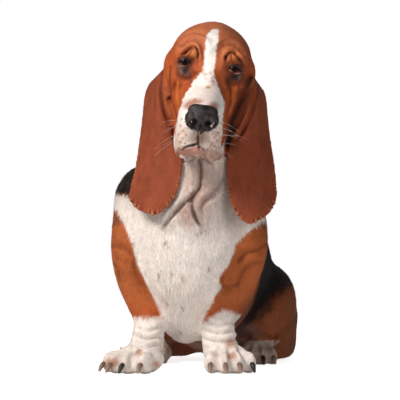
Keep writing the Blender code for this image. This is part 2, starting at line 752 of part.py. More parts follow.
def grown_flat(cutter, by, hidden):
    """A copy of a convex cutter with every face moved out by the gap."""
    copy = cutter.copy()
    copy.data = cutter.data.copy()
    hidden.objects.link(copy)
    bm = bmesh.new()
    bm.from_mesh(copy.data)
    bm.normal_update()
    for vert in bm.verts:
        vert.co += vert.normal * by * vert.calc_shell_factor()
    bm.to_mesh(copy.data)
    bm.free()
    return copy


def part_body(body, hound, hidden):
    """Divides the body at the wrists, shoulders, hips, hocks, the root of the tail and the loin."""
    nodes = {}

    def take(name, cutter):
        nodes[name] = part_off(body, name, cutter, hound, hidden)

    for paw, (place, turn, half, high) in PAWS.items():
        x, y, _ = place
        if paw.startswith("fore"):
            corners = ((-0.062, -0.085, -0.05), (0.062, 0.062, 0.047))
        else:
            corners = ((-0.040, -0.070, -0.05), (0.040, 0.034, 0.040))
        frame = Matrix.Translation((x, y, 0)) @ Matrix.Rotation(math.radians(turn), 4, "Z")
        take(paw, block("cut_" + paw, corners, hidden, frame))
    for side, q in (("right", -1), ("left", 1)):
        x = FORELEGS[side][5][0]
        frame = Matrix.Translation((x - q * 0.036, 0.0, 0.050)) @ Matrix.Rotation(q * math.radians(12), 4, "Y")
        corners = ((0.0, -0.120, -0.020), (q * 0.200, 0.094, 0.200))
        take("foreleg_" + side, block("cut_foreleg", corners, hidden, frame))
        frame = Matrix.Translation(PELVIS) @ Matrix.Rotation(-BODY_TURN, 4, "Z")
        corners = ((q * 0.048, -0.200, -0.050), (q * 0.300, 0.088, 0.142))
        take("hindleg_" + side, block("cut_hindleg", corners, hidden, frame))
    behind = Vector((math.sin(BODY_TURN), math.cos(BODY_TURN), -0.6))
    take("tail", slab("cut_tail", body_point(0.0, 0.097, 0.045), behind, hidden, (0.7, 0.7, 0.4)))
    take("neck", slab("cut_neck", (0.0, 0.05, 0.322), (0.0, -0.36, 0.93), hidden))
    take("loin", slab("cut_loin", (0.0, 0.215, 0.100), (0.0, 1.0, 0.08), hidden))
    nodes["chest"] = body
    body.name = "chest"
    return nodes


def main():
    clear_scene()
    hound = collection_named("basset_hound")
    hidden = collection_named("cutters", hidden=True)
    body = make_hound(hound)
    head = body.copy()
    head.data = body.data.copy()
    head.name = "head"
    hound.objects.link(head)
    thinned(body, BODY_TRIANGLES)
    thinned(head, HEAD_TRIANGLES)
    hound_tree = tree_of(head)
    cutter = head_block(hidden)
    boolean(head, cutter, "INTERSECT")
    boolean(body, grown_flat(cutter, GAP, hidden), "DIFFERENCE")
    largest_only(head)
    largest_only(body)
    around = grown(head, 2.5 * GAP, hidden)
    boolean(around, grown(body, 2.5 * GAP, hidden), "UNION")
    body_tree = tree_of(body)
    nose = make_nose(hound, hidden)
    for q in (-1, 1):
        open_lids(head, q, hidden)
    boolean(head, grown(nose, GAP, hidden), "DIFFERENCE")
    for q, side in ((-1, "right"), (1, "left")):
        eye = make_eye("eye_" + side, q, hound)
        boolean(head, grown(eye, GAP, hidden), "DIFFERENCE")
        paint(eye, "eye", (0.02, 0.01, 0.008), 0.1)
    largest_only(head)
    for name in EARS:
        ear = make_ear(name, body_tree, hound_tree, hound)
        boolean(ear, around, "DIFFERENCE", "EXACT")
        largest_only(ear)
        paint(ear, "ear coat", (0.27, 0.065, 0.028))
    nodes = part_body(body, hound, hidden)
    for paw in PAWS:
        for claw in make_claws(paw, hound):
            boolean(nodes[paw], grown(claw, GAP, hidden), "DIFFERENCE")
            paint(claw, "claw", (0.35, 0.27, 0.20), 0.35)
        largest_only(nodes[paw])
    for name, node in nodes.items():
        white = "paw" in name or name in ("neck", "chest")
        coat = "white coat" if white else "black coat" if name in ("loin", "tail") else "tan coat"
        paint(node, coat, COATS[coat])
    paint(head, "tan coat", COATS["tan coat"])
    paint(nose, "nose leather", (0.02, 0.018, 0.018), 0.4)
    for node in hound.objects:
        node.location = TO_ORIGIN
        for face in node.data.polygons:
            face.use_smooth = True


main()
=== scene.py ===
import math

import bmesh
import bpy
import numpy as np
from mathutils import Euler, Matrix, Vector
from mathutils.bvhtree import BVHTree


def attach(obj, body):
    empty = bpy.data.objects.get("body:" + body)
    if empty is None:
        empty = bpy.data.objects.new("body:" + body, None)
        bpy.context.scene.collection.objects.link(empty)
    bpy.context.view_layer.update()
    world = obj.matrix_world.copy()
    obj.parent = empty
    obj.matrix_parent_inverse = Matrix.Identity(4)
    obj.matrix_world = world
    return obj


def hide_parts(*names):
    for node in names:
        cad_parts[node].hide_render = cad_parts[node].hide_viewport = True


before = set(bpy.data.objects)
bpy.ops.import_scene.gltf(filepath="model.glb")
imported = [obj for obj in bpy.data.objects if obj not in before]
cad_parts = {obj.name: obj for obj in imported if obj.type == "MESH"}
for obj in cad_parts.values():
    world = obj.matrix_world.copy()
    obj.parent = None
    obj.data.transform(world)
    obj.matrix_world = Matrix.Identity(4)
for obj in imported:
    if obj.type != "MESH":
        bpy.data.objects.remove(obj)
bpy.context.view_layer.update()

# Camera.
# It stands three metres before the hound, at the height of its elbows and tipped a little up, as the
# photograph's did. Places on the hound that the photograph shows are given by its picture points.
PICTURE_POINTS_AT_ONE_METRE = 1852.0
PICTURE_MIDDLE = 200.0
FILM_WIDTH = 36.0
CAMERA_AT = Vector((-0.0025, -3.1735, 0.2000))
CAMERA_TIPPED_UP = math.atan(47.6 / PICTURE_POINTS_AT_ONE_METRE)

camera = bpy.data.objects.new("camera", bpy.data.cameras.new("camera"))
bpy.context.scene.collection.objects.link(camera)
camera.location = CAMERA_AT
camera.rotation_euler = (math.radians(90.0) + CAMERA_TIPPED_UP, 0.0, 0.0)
camera.data.sensor_width = FILM_WIDTH
camera.data.lens = FILM_WIDTH * PICTURE_POINTS_AT_ONE_METRE / (2 * PICTURE_MIDDLE)
camera.data.clip_start = 0.1
bpy.context.scene.camera = camera
CAMERA_TURN = camera.rotation_euler.to_matrix()


def sight(across, down):
    """The direction in which the camera sees a point of the picture, which is 400 points wide and high."""
    ahead = Vector((across - PICTURE_MIDDLE, PICTURE_MIDDLE - down, -PICTURE_POINTS_AT_ONE_METRE))
    return (CAMERA_TURN @ ahead).normalized()


def in_picture(points):
    """Where the camera sees each point, as picture points across and down."""
    local = (points - np.array(CAMERA_AT)) @ np.array(CAMERA_TURN)
    scale = PICTURE_POINTS_AT_ONE_METRE / -local[:, 2]
    return PICTURE_MIDDLE + local[:, 0] * scale, PICTURE_MIDDLE - local[:, 1] * scale


# Hide of the body and head.
# The skin of a real basset is loose and hangs in folds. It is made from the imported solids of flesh,
# grown a little so that they join, fused, smoothed, and set inside them by the depth of the coat.
FLESH = [
    "head", "neck", "chest", "loin", "tail", "nose", "eye_left", "eye_right",
    "foreleg_left", "foreleg_right", "forepaw_left", "forepaw_right",
    "hindleg_left", "hindleg_right", "hindpaw_left", "hindpaw_right",
]
JOINING = 0.0006
COAT_DEPTH = 0.0011
HIDE_FACE = 0.0032
SMOOTHED = 0.60  # how far a round of smoothing moves each point towards the mean of its neighbours
RESTORED = 0.62  # and how far it then moves back out, so that nothing shrinks
# Each paw: the middle of its pad, how far its toes turn out, its half width, and its toes' height
PAWS = {
    "forepaw_right": ((-0.0995, -0.2035, 0.0), -36.0, 0.045, 1.0),
    "forepaw_left": ((0.0415, -0.2035, 0.0), 8.0, 0.041, 1.0),
    "hindpaw_left": ((0.0955, 0.0145, 0.0), 0.0, 0.034, 0.85),
    "hindpaw_right": ((-0.0805, 0.0415, 0.0), -22.0, 0.034, 0.85),
}


def tipped(x, y, z):
    """A turn in degrees about X, then Y, then Z."""
    return Euler([math.radians(turn) for turn in (x, y, z)], "XYZ").to_matrix().to_4x4()


HEAD_POSE = Matrix.Translation((0.0135, -0.2355, 0.4900)) @ tipped(30.0, 8.0, 0.0)


def object_of(bm, name):
    """A bmesh as an object of the scene."""
    mesh = bpy.data.meshes.new(name)
    bm.to_mesh(mesh)
    bm.free()
    obj = bpy.data.objects.new(name, mesh)
    bpy.context.scene.collection.objects.link(obj)
    return obj


def settle(obj):
    """Applies the object's modifiers."""
    graph = bpy.context.evaluated_depsgraph_get()
    mesh = bpy.data.meshes.new_from_object(obj.evaluated_get(graph))
    obj.modifiers.clear()
    old = obj.data
    obj.data = mesh
    bpy.data.meshes.remove(old)


def fuse(obj, face):
    """Makes one closed skin of even faces from pieces that overlap."""
    remesh = obj.modifiers.new("fuse", "REMESH")
    remesh.mode = "VOXEL"
    remesh.voxel_size = face
    settle(obj)


def points_of(obj, field="co"):
    """Where each point of a mesh is or, by the field "normal", which way the surface faces there."""
    values = np.empty(len(obj.data.vertices) * 3, np.float32)
    obj.data.vertices.foreach_get(field, values)
    return values.reshape(-1, 3).astype(float)


def normals_of(obj):
    return points_of(obj, "normal")


def put_points(obj, co):
    obj.data.vertices.foreach_set("co", co.astype(np.float32).ravel())
    obj.data.update()


def smooth(obj):
    obj.data.polygons.foreach_set("use_smooth", [True] * len(obj.data.polygons))


def neighbours_of(obj):
    """The two ends of every edge, and how many edges meet at each point."""
    edges = np.empty(len(obj.data.edges) * 2, np.int32)
    obj.data.edges.foreach_get("vertices", edges)
    a, b = edges.reshape(-1, 2).T
    count = len(obj.data.vertices)
    return a, b, np.bincount(a, minlength=count) + np.bincount(b, minlength=count)


def averaged(co, neighbours):
    """Each point's neighbours' mean."""
    a, b, count = neighbours
    mean = np.empty_like(co)
    for k in range(co.shape[1]):
        mean[:, k] = (np.bincount(a, co[b, k], len(co)) + np.bincount(b, co[a, k], len(co))) / count
    return mean


def calm(obj, rounds, share=1.0, keep_size=True):
    """Smooths the surface, all of it or by a share at each point."""
    neighbours = neighbours_of(obj)
    co = points_of(obj)
    share = np.broadcast_to(np.asarray(share, float).reshape(-1, 1), (len(co), 1))
    for _ in range(rounds):
        co = co + (averaged(co, neighbours) - co) * SMOOTHED * share
        if keep_size:
            co = co - (averaged(co, neighbours) - co) * RESTORED * share
    put_points(obj, co)


def finer(obj, chosen):
    """Splits the faces between the chosen points, so that small folds can be cut there."""
    bm = bmesh.new()
    bm.from_mesh(obj.data)
    edges = [edge for edge in bm.edges if chosen[edge.verts[0].index] and chosen[edge.verts[1].index]]
    bmesh.ops.subdivide_edges(bm, edges=edges, cuts=1, use_grid_fill=True)
    bm.to_mesh(obj.data)
    bm.free()
    obj.data.update()


def into(place, points):
    """Points of the scene, as they lie in a frame placed by that matrix."""
    return out_of(place.inverted(), points)


def out_of(place, points):
    """Points of a frame placed by that matrix, as they lie in the scene."""
    return points @ np.array(place.to_3x3()).T + np.array(place.translation)


def in_head(points):
    """Points in the head's frame: from between the eyes, -Y runs along the muzzle and +Z to the crown."""
    return into(HEAD_POSE, points)


def join_to(whole, piece):
    """Adds one bmesh to another, and frees it."""
    mesh = bpy.data.meshes.new("piece")
    piece.to_mesh(mesh)
    piece.free()
    whole.from_mesh(mesh)
    bpy.data.meshes.remove(mesh)


def flesh_of(names, grown):
    """The named solids as one bmesh, each that much larger all round."""
    whole = bmesh.new()
    for name in names:
        solid = bmesh.new()
        solid.from_mesh(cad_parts[name].data)
        bmesh.ops.remove_doubles(solid, verts=solid.verts, dist=2e-6)
        solid.normal_update()
        for vert in solid.verts:
            vert.co += vert.normal * grown
        join_to(whole, solid)
    return whole


hide = object_of(flesh_of(FLESH, JOINING), "hide")
fuse(hide, HIDE_FACE)
calm(hide, 7)
put_points(hide, points_of(hide) - normals_of(hide) * (JOINING + COAT_DEPTH))
calm(hide, 3)

# the face and feet have finer faces, and the eyes and mouth finer still, for their small folds
co = points_of(hide)
h = in_head(co)
face = (h[:, 1] < 0.030) & (h[:, 2] > -0.135) & (h[:, 2] < 0.075) & (np.abs(h[:, 0]) < 0.090)
for paw, ((x, y, _), _, _, _) in PAWS.items():
    face |= (np.hypot(co[:, 0] - x, co[:, 1] - y) < 0.066) & (co[:, 2] < 0.052)
finer(hide, face)
h = in_head(points_of(hide))
eyes = (np.hypot(np.abs(h[:, 0]) - 0.0360, (h[:, 2] - 0.013) * 0.9) < 0.029) & (h[:, 1] < 0.020)
mouth = (h[:, 1] < -0.095) & (h[:, 2] < -0.050) & (h[:, 2] > -0.130) & (np.abs(h[:, 0]) < 0.050)
finer(hide, eyes | mouth)
calm(hide, 2)


def along(stations, steps):
    """Stations of numbers joined by a smooth Catmull-Rom curve, steps to a span."""
    p = np.array(stations, float)
    p = np.vstack([2 * p[0] - p[1], p, 2 * p[-1] - p[-2]])
    t = (np.arange(steps) / steps)[:, None]
    rows = []
    for i in range(1, len(p) - 2):
        rows.append(
            0.5 * (2 * p[i] + (p[i + 1] - p[i - 1]) * t
                   + (2 * p[i - 1] - 5 * p[i] + 4 * p[i + 1] - p[i + 2]) * t ** 2
                   + (3 * p[i] - p[i - 1] - 3 * p[i + 1] + p[i + 2]) * t ** 3)
        )
    rows.append(p[-2:-1])
    return np.vstack(rows)


def tree_of(obj):
    faces = [tuple(face.vertices) for face in obj.data.polygons]
    return BVHTree.FromPolygons([tuple(p) for p in points_of(obj)], faces)


def seen_at(tree, line):
    """The places on a surface where the camera sees these picture points."""
    places = []
    for across, down in line:
        place = tree.ray_cast(CAMERA_AT, sight(across, down))[0]
        if place is not None:
            places.append(tuple(place))
    return places


def along_line(points, line):
    """Each point's distance to a line of places, and how far along the line that is, from 0 to 1."""
    line = np.array(line)
    best = np.full(len(points), 1e9)
    where = np.zeros(len(points))
    for i in range(len(line) - 1):
        a, d = line[i], line[i + 1] - line[i]
        t = np.clip((points - a) @ d / max(d @ d, 1e-12), 0, 1)
        gap = np.linalg.norm(points - a - t[:, None] * d, axis=1)
        closer = gap < best
        best[closer] = gap[closer]
        where[closer] = (i + t[closer]) / (len(line) - 1)
    return best, where


def fold(obj, tree, line, width, depth, lip=0.5, faded=0.20):
    """Presses a fold in along a line of picture points, with a raised roll on both sides of it.

    A depth below zero raises a roll along the line instead.
    """
    places = seen_at(tree, along(line, 4))
    if len(places) < 3:
        return
    co = points_of(obj)
    low, high = np.min(places, axis=0) - 5 * width, np.max(places, axis=0) + 5 * width
    near = np.nonzero(((co > low) & (co < high)).all(axis=1))[0]
    gap, where = along_line(co[near], places)
    fade = np.clip(np.minimum(where, 1 - where) / faded, 0.0, 1.0)
    fade = fade * fade * (3 - 2 * fade)
    push = -depth * np.exp(-(gap / width) ** 2) + lip * depth * np.exp(-((gap - 2.1 * width) / width) ** 2)
    co[near] += normals_of(obj)[near] * (push * fade)[:, None]
    put_points(obj, co)


def swell(obj, tree, across, down, radius, height):
    """Raises the surface round a picture point, or presses it in where the height is below zero."""
    place = seen_at(tree, [(across, down)])
    if not place:
        return
    co = points_of(obj)
    gap = np.linalg.norm(co - np.array(place[0]), axis=1) / radius
    co += normals_of(obj) * (height * np.exp(-gap ** 2))[:, None]
    put_points(obj, co)


# Folds of the face, in picture points: two hooked brow folds over each eye, the pouch under it, the
# creases that run down the cheek, and the roll where the cheek meets the ear.
FACE_FOLDS = [
    # (line, width, depth, lip)
    ([(177.3, 59), (184, 54), (189, 49.7), (194, 47.5), (197.2, 49.7), (197.7, 56), (197.2, 62)],
     0.0024, 0.0046, 0.9),
    ([(179.5, 46.8), (186.8, 42.4), (195.5, 40.2), (201.3, 43.9), (203, 51), (202, 58.4)],
     0.0050, 0.0030, 0.9),
    ([(176, 44), (185, 36.5), (195, 33), (204, 36)], 0.0058, 0.0015, 0.8),
    ([(225.7, 62), (226, 56.2), (229.6, 53.3), (233.9, 54), (239, 59), (244, 66.4)], 0.0024, 0.0046, 0.9),
    ([(218, 56.2), (220.9, 48.2), (227.4, 44.6), (234.7, 45.3), (240.5, 50.4), (246.3, 58.4)],
     0.0050, 0.0030, 0.9),
    ([(219, 44), (227, 38.5), (236, 39.5), (244, 47)], 0.0058, 0.0015, 0.8),
    ([(176, 70), (179, 76.5), (186, 79.5), (193, 77), (198, 71)], 0.0034, 0.0022, 0.5),
    ([(224, 76), (228, 82), (234, 84.5), (240, 82), (243.5, 75)], 0.0034, 0.0022, 0.5),
    ([(171, 62), (169.5, 76), (169.8, 90), (172.5, 104), (177, 113)], 0.0036, 0.0022, 0.6),
    ([(176, 80), (175, 92), (176.5, 104)], 0.0026, 0.0026, 0.6),
    ([(240, 82), (240.5, 92), (237, 104), (231, 118)], 0.0030, 0.0038, 0.6),
    ([(228, 84), (229.5, 96), (229, 110)], 0.0026, 0.0026, 0.6),
    ([(166, 46), (168.5, 54), (169.5, 63)], 0.0036, 0.0034, 0.5),
    ([(248, 56), (250.5, 66), (250.5, 78), (247, 92)], 0.0036, 0.0036, 0.5),
    ([(181.5, 149), (186, 147), (191, 145.6), (195.6, 144.4), (198.2, 142.4)], 0.0017, 0.0034, 0.5),
    ([(198.2, 134), (198.2, 138), (198.2, 143), (199, 147), (200.4, 151.5)], 0.0016, 0.0030, 0.5),
    ([(199, 146), (204, 149.4), (209, 151), (213, 152.5)], 0.0017, 0.0020, 0.5),
    ([(178.5, 156), (182.5, 160), (188, 161), (193, 158), (198, 156), (204, 158), (210, 161.5), (216, 163)],
     0.0022, 0.0032, 0.4),
    ([(199.2, 157), (199.8, 162), (200, 168)], 0.0020, 0.0020, 0.5),
]
EYE_FOLDS = FACE_FOLDS[:8]
# Folds of the throat and legs: the long crease of the dewlap, which forks, the rolls beside it, and
# the loose skin that wrinkles over the wrists and hangs at the elbows
BODY_FOLDS = [
    ([(199.5, 154), (200.5, 165), (201, 176), (199.5, 187), (193, 196)], 0.0030, 0.0042, 0.7),
    ([(200, 188), (191, 198), (180, 207.5), (170, 218), (162, 227)], 0.0040, 0.0054, 0.7),
    ([(193.5, 194), (192.2, 205), (195, 216), (200, 224), (206, 228.5)], 0.0034, 0.0050, 0.7),
    ([(224, 176), (218, 188), (209, 197), (203, 203), (202, 214)], 0.0044, 0.0036, 0.7),
    ([(203, 176), (212, 180), (223, 173)], 0.0032, 0.0016, 0.7),
    ([(203, 184), (213, 189), (225, 183)], 0.0032, 0.0016, 0.7),
    ([(202, 193), (210, 198), (221, 194)], 0.0032, 0.0016, 0.7),
    ([(187, 160), (186, 175), (187, 188)], 0.0050, 0.0022, 0.6),
    ([(133, 325), (141, 330), (151, 331), (163, 325)], 0.0032, 0.0026, 0.7),
    ([(131, 333), (140, 338), (151, 339), (163, 333)], 0.0034, 0.0030, 0.7),
    ([(127, 341), (137, 346), (149, 347), (162, 342)], 0.0034, 0.0026, 0.7),
    ([(201, 319), (211, 324), (222, 325), (236, 319)], 0.0032, 0.0026, 0.7),
    ([(200, 328), (210, 332.5), (223, 333.5), (237, 327)], 0.0034, 0.0030, 0.7),
    ([(202, 337), (212, 341.5), (226, 342), (240, 336)], 0.0034, 0.0026, 0.7),
    ([(108, 243), (118, 247), (128, 251), (134, 258)], 0.0060, 0.0034, 0.6),
    ([(111, 262), (117, 268), (119, 280)], 0.0050, 0.0026, 0.6),
    ([(133, 262), (138, 278), (146, 292)], 0.0050, 0.0030, 0.6),
    ([(268, 243), (258, 250), (246, 253), (238, 262)], 0.0060, 0.0034, 0.6),
    ([(262, 262), (252, 264), (243, 272), (238, 286)], 0.0055, 0.0030, 0.6),
    ([(224, 276), (222, 285), (230, 287.5), (238, 284)], 0.0050, 0.0034, 0.6),
    ([(286, 262), (280, 285), (268, 303), (254, 314)], 0.0080, 0.0030, 0.5),
    ([(297, 317), (286, 326), (278, 336), (270, 340)], 0.0050, 0.0040, 0.5),
]
DEWLAP_FOLDS = BODY_FOLDS[:4]
LIMB_FOLDS = BODY_FOLDS[14:]
# Swellings of the brows, lips, flews and shoulder: (across, down, radius, height)
SWELLINGS = [
    (194.0, 55.0, 0.0070, 0.0022), (184.0, 56.5, 0.0060, 0.0016), (232.0, 60.0, 0.0070, 0.0022),
    (241.0, 66.0, 0.0060, 0.0014), (222.0, 66.0, 0.0060, 0.0012), (183.5, 156.0, 0.0070, 0.0030),
    (214.5, 157.0, 0.0080, 0.0034), (195.0, 151.0, 0.0060, 0.0012), (181.0, 137.0, 0.0100, 0.0014),
    (215.5, 140.0, 0.0100, 0.0014), (124.0, 186.0, 0.0400, 0.0060),
]
# the haunches and heels are rounded where they meet the floor
co = points_of(hide)
low_back = np.clip((co[:, 1] - 0.045) / 0.030, 0, 1) * np.clip((0.085 - co[:, 2]) / 0.030, 0, 1)
calm(hide, 60, low_back, keep_size=False)
hide_tree = tree_of(hide)
for line, width, depth, lip in FACE_FOLDS + BODY_FOLDS:
    fold(hide, hide_tree, line, width, depth, lip)
for across, down, radius, height in SWELLINGS:
    swell(hide, hide_tree, across, down, radius, height)

# Toes and the gaps between them
TOES = 4


def toe_places(paw):
    """Each toe's middle, its heading in radians, and its half width, half length and half height."""
    (x, y, _), turn, half, high = PAWS[paw]
    places = []
    for k in range(TOES):
        s = (k - (TOES - 1) / 2) / ((TOES - 1) / 2)
        heading = math.radians(turn + 13.0 * s)
        reach = half * (0.92 - 0.34 * s * s)
        sideways = half * 0.72 * s
        c, w = math.cos(math.radians(turn)), math.sin(math.radians(turn))
        place = (x + sideways * c + reach * w, y + sideways * w - reach * c, 0.017 * high)
        places.append((place, heading, half * 0.31, half * 0.52, 0.020 * high))
    return places


def toe_gap(paw, k):
    """The gap between a toe and the next, from the top of the paw down to the floor, and its middle."""
    (x, y, _), turn, half, high = PAWS[paw]
    first, second = toe_places(paw)[k], toe_places(paw)[k + 1]
    ahead = (Vector(first[0]) + Vector(second[0])) / 2
    heading = (first[1] + second[1]) / 2
    way = Vector((math.sin(heading), -math.cos(heading), 0))
    back = ahead - way * half * 0.62
    line = [
        (back.x, back.y, 0.044 * high),
        (ahead.x, ahead.y, 0.037 * high),
        (ahead.x + way.x * half * 0.34, ahead.y + way.y * half * 0.34, 0.028 * high),
        (ahead.x + way.x * half * 0.46, ahead.y + way.y * half * 0.46, 0.004),
    ]
    return along(line, 4), ahead


def near_gap(points, paw, k):
    """How near each point is to that gap, 0 to 1, fading out up the back of the paw."""
    line, ahead = toe_gap(paw, k)
    near = np.nonzero((np.abs(points - np.array(ahead)) < 0.045).all(axis=1) & (points[:, 2] < 0.052))[0]
    gap, where = along_line(points[near], line)
    share = np.zeros(len(points))
    share[near] = np.exp(-(gap / 0.0052) ** 2) * np.clip(where / 0.25, 0, 1)
    return share


for paw in PAWS:
    for k in range(TOES - 1):
        co = points_of(hide)
        share = near_gap(co, paw, k)
        put_points(hide, co - normals_of(hide) * (0.0068 * PAWS[paw][3] * share)[:, None])

# Eyelids. The hide is drawn over each eyeball, open in an almond whose lower lid hangs.
EYE = Vector((0.0385, -0.014, 0.0045))
EYE_RADIUS = 0.0125
LID = 0.0020
ALMOND = (0.0112, 0.0058, 0.0074)  # half its width, its height above the middle and below


def step(value, low, high):
    """0 below low, 1 above high, and smooth between them."""
    t = np.clip((value - low) / (high - low), 0, 1)
    return t * t * (3 - 2 * t)


def almond(x, z, q):
    """Below 1 inside the opening between the lids, 1 on their edge. x and z are from the eye's middle."""
    tipped = z + 0.16 * q * x
    wide, over, under = ALMOND
    sag = 1.0 + 0.16 * np.sin(np.clip(q * x / wide, -1, 1) * 1.2)
    high = np.where(tipped > 0, over, under * sag)
    return np.sqrt((x / wide) ** 2 + (tipped / high) ** 2)


def eye_place(q):
    """The eye's own frame. Above the sloping muzzle it looks straight ahead, and a little outwards."""
    return HEAD_POSE @ Matrix.Translation((q * EYE.x, EYE.y, EYE.z)) @ tipped(-27.0, 0.0, 8.0 * q)


def in_eye(points, q):
    return into(eye_place(q), points)


for q in (-1, 1):
    co = points_of(hide)
    d = in_eye(co, q)
    r = np.linalg.norm(d, axis=1)
    near = (r < 0.026) & (d[:, 1] < 0.003)
    opening = almond(d[:, 0], d[:, 2], q)
    lid = near & (opening >= 1.0)
    # the lids hug the ball, their edges rolled, and the skin round them is drawn in towards it
    over = EYE_RADIUS + LID + 0.0007 * np.exp(-((opening - 1.12) / 0.14) ** 2)
    drawn = np.exp(-np.clip(opening - 1.20, 0, None) * 1.9)
    hug = np.where(r < over, over, r * (1 - drawn) + np.minimum(r, over + 0.0006) * drawn)
    d[lid] *= (hug / r)[lid, None]
    pit = near & (opening < 1.0)
    d[pit] *= ((EYE_RADIUS - 0.0035) / r)[pit, None]
    co[near] = out_of(eye_place(q), d)[near]
    put_points(hide, co)

# The muzzle's skin lies back under the bare pad of the nose.
NOSE = Vector((0.0, -0.1280, -0.0345))
co = points_of(hide)
h = in_head(co) - np.array(NOSE)
pad = np.linalg.norm((h - np.array((0, 0.004, 0.0))) / np.array((0.0262, 0.0240, 0.0215)), axis=1)
under = (pad < 1.0) & (h[:, 1] < 0.012)
share = np.clip((1.0 - pad) / 0.22, 0, 1) * under
h[:, 1] += 0.0050 * share + 0.0070 * step(share, 0.5, 1.0)
put_points(hide, out_of(HEAD_POSE, h + np.array(NOSE)))

# The floor that it sits on keeps the soles flat.
SOLES_AT = 0.0004
co = points_of(hide)
co[:, 2] = np.maximum(co[:, 2], SOLES_AT)
put_points(hide, co)

# Ears.
# Each is a long, soft leaf of skin with gristle, rooted low behind the cheek, its front edge rolled
# over on itself and its lower rim puckered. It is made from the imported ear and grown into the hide.
EARS = ["ear_right", "ear_left"]
EAR_FACE = 0.0017
EAR_FOLDS = {
    "ear_right": [
        ([(164, 64), (161, 74), (160.5, 88), (162.5, 104), (167, 117), (173.5, 128)], 0.0030, 0.0032, 0.7),
        ([(156, 78), (154, 96), (153, 118)], 0.0060, 0.0012, 0.5),
        ([(168, 140), (166, 160), (163, 182)], 0.0070, 0.0012, 0.5),
    ],
    "ear_left": [
        ([(252.5, 66), (254.5, 80), (254, 97), (250.5, 113), (243, 129), (234, 141)], 0.0030, 0.0032, 0.7),
        ([(262, 92), (262.5, 112), (261, 134)], 0.0060, 0.0012, 0.5),
        ([(244, 150), (248, 172), (250, 192)], 0.0070, 0.0012, 0.5),
    ],
}
PUCKER = 0.0072  # from one pucker of the rim to the next
PUCKERED = 0.0112  # how far in from the rim the puckers reach
LOWER_PART = 0.090  # how far up from its lowest point an ear is puckered
RIM_STEPS = 90
EARS_PART_AT = 0.012  # the plane midway between the two ears
# Above each height, an ear's points nearer to the hide than this are grown into it
GROWN_IN = ((0.430, 0.0060), (0.395, 0.0115))
ear_rims = {}


def crimps(points, name):
    """How near each point low on an ear is to its rim, 0 to 1, and the wave of the puckers there."""
    middle, lowest, rim = ear_rims[name]
    low = np.clip((lowest + LOWER_PART - points[:, 2]) / LOWER_PART, 0, 1)
    turn = np.arctan2(points[:, 0] - middle[0], middle[2] + 0.030 - points[:, 2])
    reach = np.hypot(points[:, 0] - middle[0], points[:, 2] - middle[2] - 0.030)
    sector = np.clip(((turn + math.pi) / (2 * math.pi) * RIM_STEPS).astype(int), 0, RIM_STEPS - 1)
    wander = 1.5 * np.sin(turn * 9) + 1.1 * np.sin(turn * 23 + 2)
    wave = np.sin(turn * 0.066 / PUCKER * 2 * math.pi + wander)
    wave *= 0.62 + 0.38 * np.sin(turn * 13 + 1)
    if rim is None:
        rim = np.zeros(RIM_STEPS)
        np.maximum.at(rim, sector, reach)
        ear_rims[name] = (middle, lowest, rim)
    return np.clip(1 - (rim[sector] - reach) / PUCKERED, 0, 1) * low ** 0.5, wave


def make_ear(name):
    ear = object_of(flesh_of([name], -0.0002), name + "_leaf")
    fuse(ear, EAR_FACE)
    calm(ear, 12)
    ear_tree = tree_of(ear)
    for line, width, depth, lip in EAR_FOLDS[name]:
        fold(ear, ear_tree, line, width, depth, lip)
    co = points_of(ear)
    no = normals_of(ear)
    lowest = co[:, 2].min()
    ear_rims[name] = (co[co[:, 2] < lowest + LOWER_PART].mean(axis=0), lowest, None)
    crimp, wave = crimps(co, name)
    co += no * (crimp * (wave - 0.3) * 0.0015)[:, None]
    put_points(ear, co)
    for k, (near, normal, _, gap) in enumerate(map(hide_tree.find_nearest, map(Vector, co))):
        grown_in = any(co[k, 2] > height and gap < reach for height, reach in GROWN_IN)
        if grown_in and no[k].dot(np.array(normal)) < -0.30:
            co[k] = np.array(near - normal * 0.0030)
    put_points(ear, co)
    return ear


hide_tree = tree_of(hide)
ears = [make_ear(name) for name in EARS]
ear_trees = [tree_of(ear) for ear in ears]
for ear in ears:
    join = hide.modifiers.new("grow_in", "BOOLEAN")
    join.operation = "UNION"
    join.solver = "MANIFOLD"
    join.object = ear
    settle(hide)
for ear in ears:
    bpy.data.objects.remove(ear, do_unlink=True)
bm = bmesh.new()
bm.from_mesh(hide.data)
bmesh.ops.triangulate(bm, faces=[face for face in bm.faces if len(face.verts) > 4])
bm.to_mesh(hide.data)
bm.free()
# the joins round the ears' roots are smoothed
co = points_of(hide)
root = np.zeros(len(co))
for x, z in ((-0.055, 0.480), (0.078, 0.466)):
    root = np.maximum(root, np.exp(-((co[:, 0] - x) / 0.022) ** 2 - ((co[:, 2] - z) / 0.030) ** 2))
calm(hide, 8, np.clip(root * 1.6 - 0.2, 0, 1), keep_size=False)
smooth(hide)
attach(hide, "root")
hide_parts(*FLESH, *EARS)

# Nose.
# A bare pad of thick, moist, pebbled skin, with comma nostrils that open to the sides. It is made of
# swellings fused together, and sits on the end of the muzzle.
NOSE_FACE = 0.0007


def linear(colour):
    """An sRGB hex colour as linear red, green, blue and opaque."""
    parts = [int(colour[k:k + 2], 16) / 255 for k in (1, 3, 5)]
    return (*[c / 12.92 if c <= 0.04045 else ((c + 0.055) / 1.055) ** 2.4 for c in parts], 1.0)


def add(material, kind, inputs=(), **settings):
    """Adds a node with its settings. An input is a number, a colour, or the (node, output) linked to it."""
    node = material.node_tree.nodes.new("ShaderNode" + kind)
    for name, value in settings.items():
        setattr(node, name, value)
    for name, value in dict(inputs).items():
        if isinstance(value, tuple) and isinstance(value[0], bpy.types.Node):
            material.node_tree.links.new(value[0].outputs[value[1]], node.inputs[name])
        else:
            node.inputs[name].default_value = value
    return node


def new_material(name):
    material = bpy.data.materials.new(name)
    material.use_nodes = True
    material.node_tree.nodes.clear()
    return material


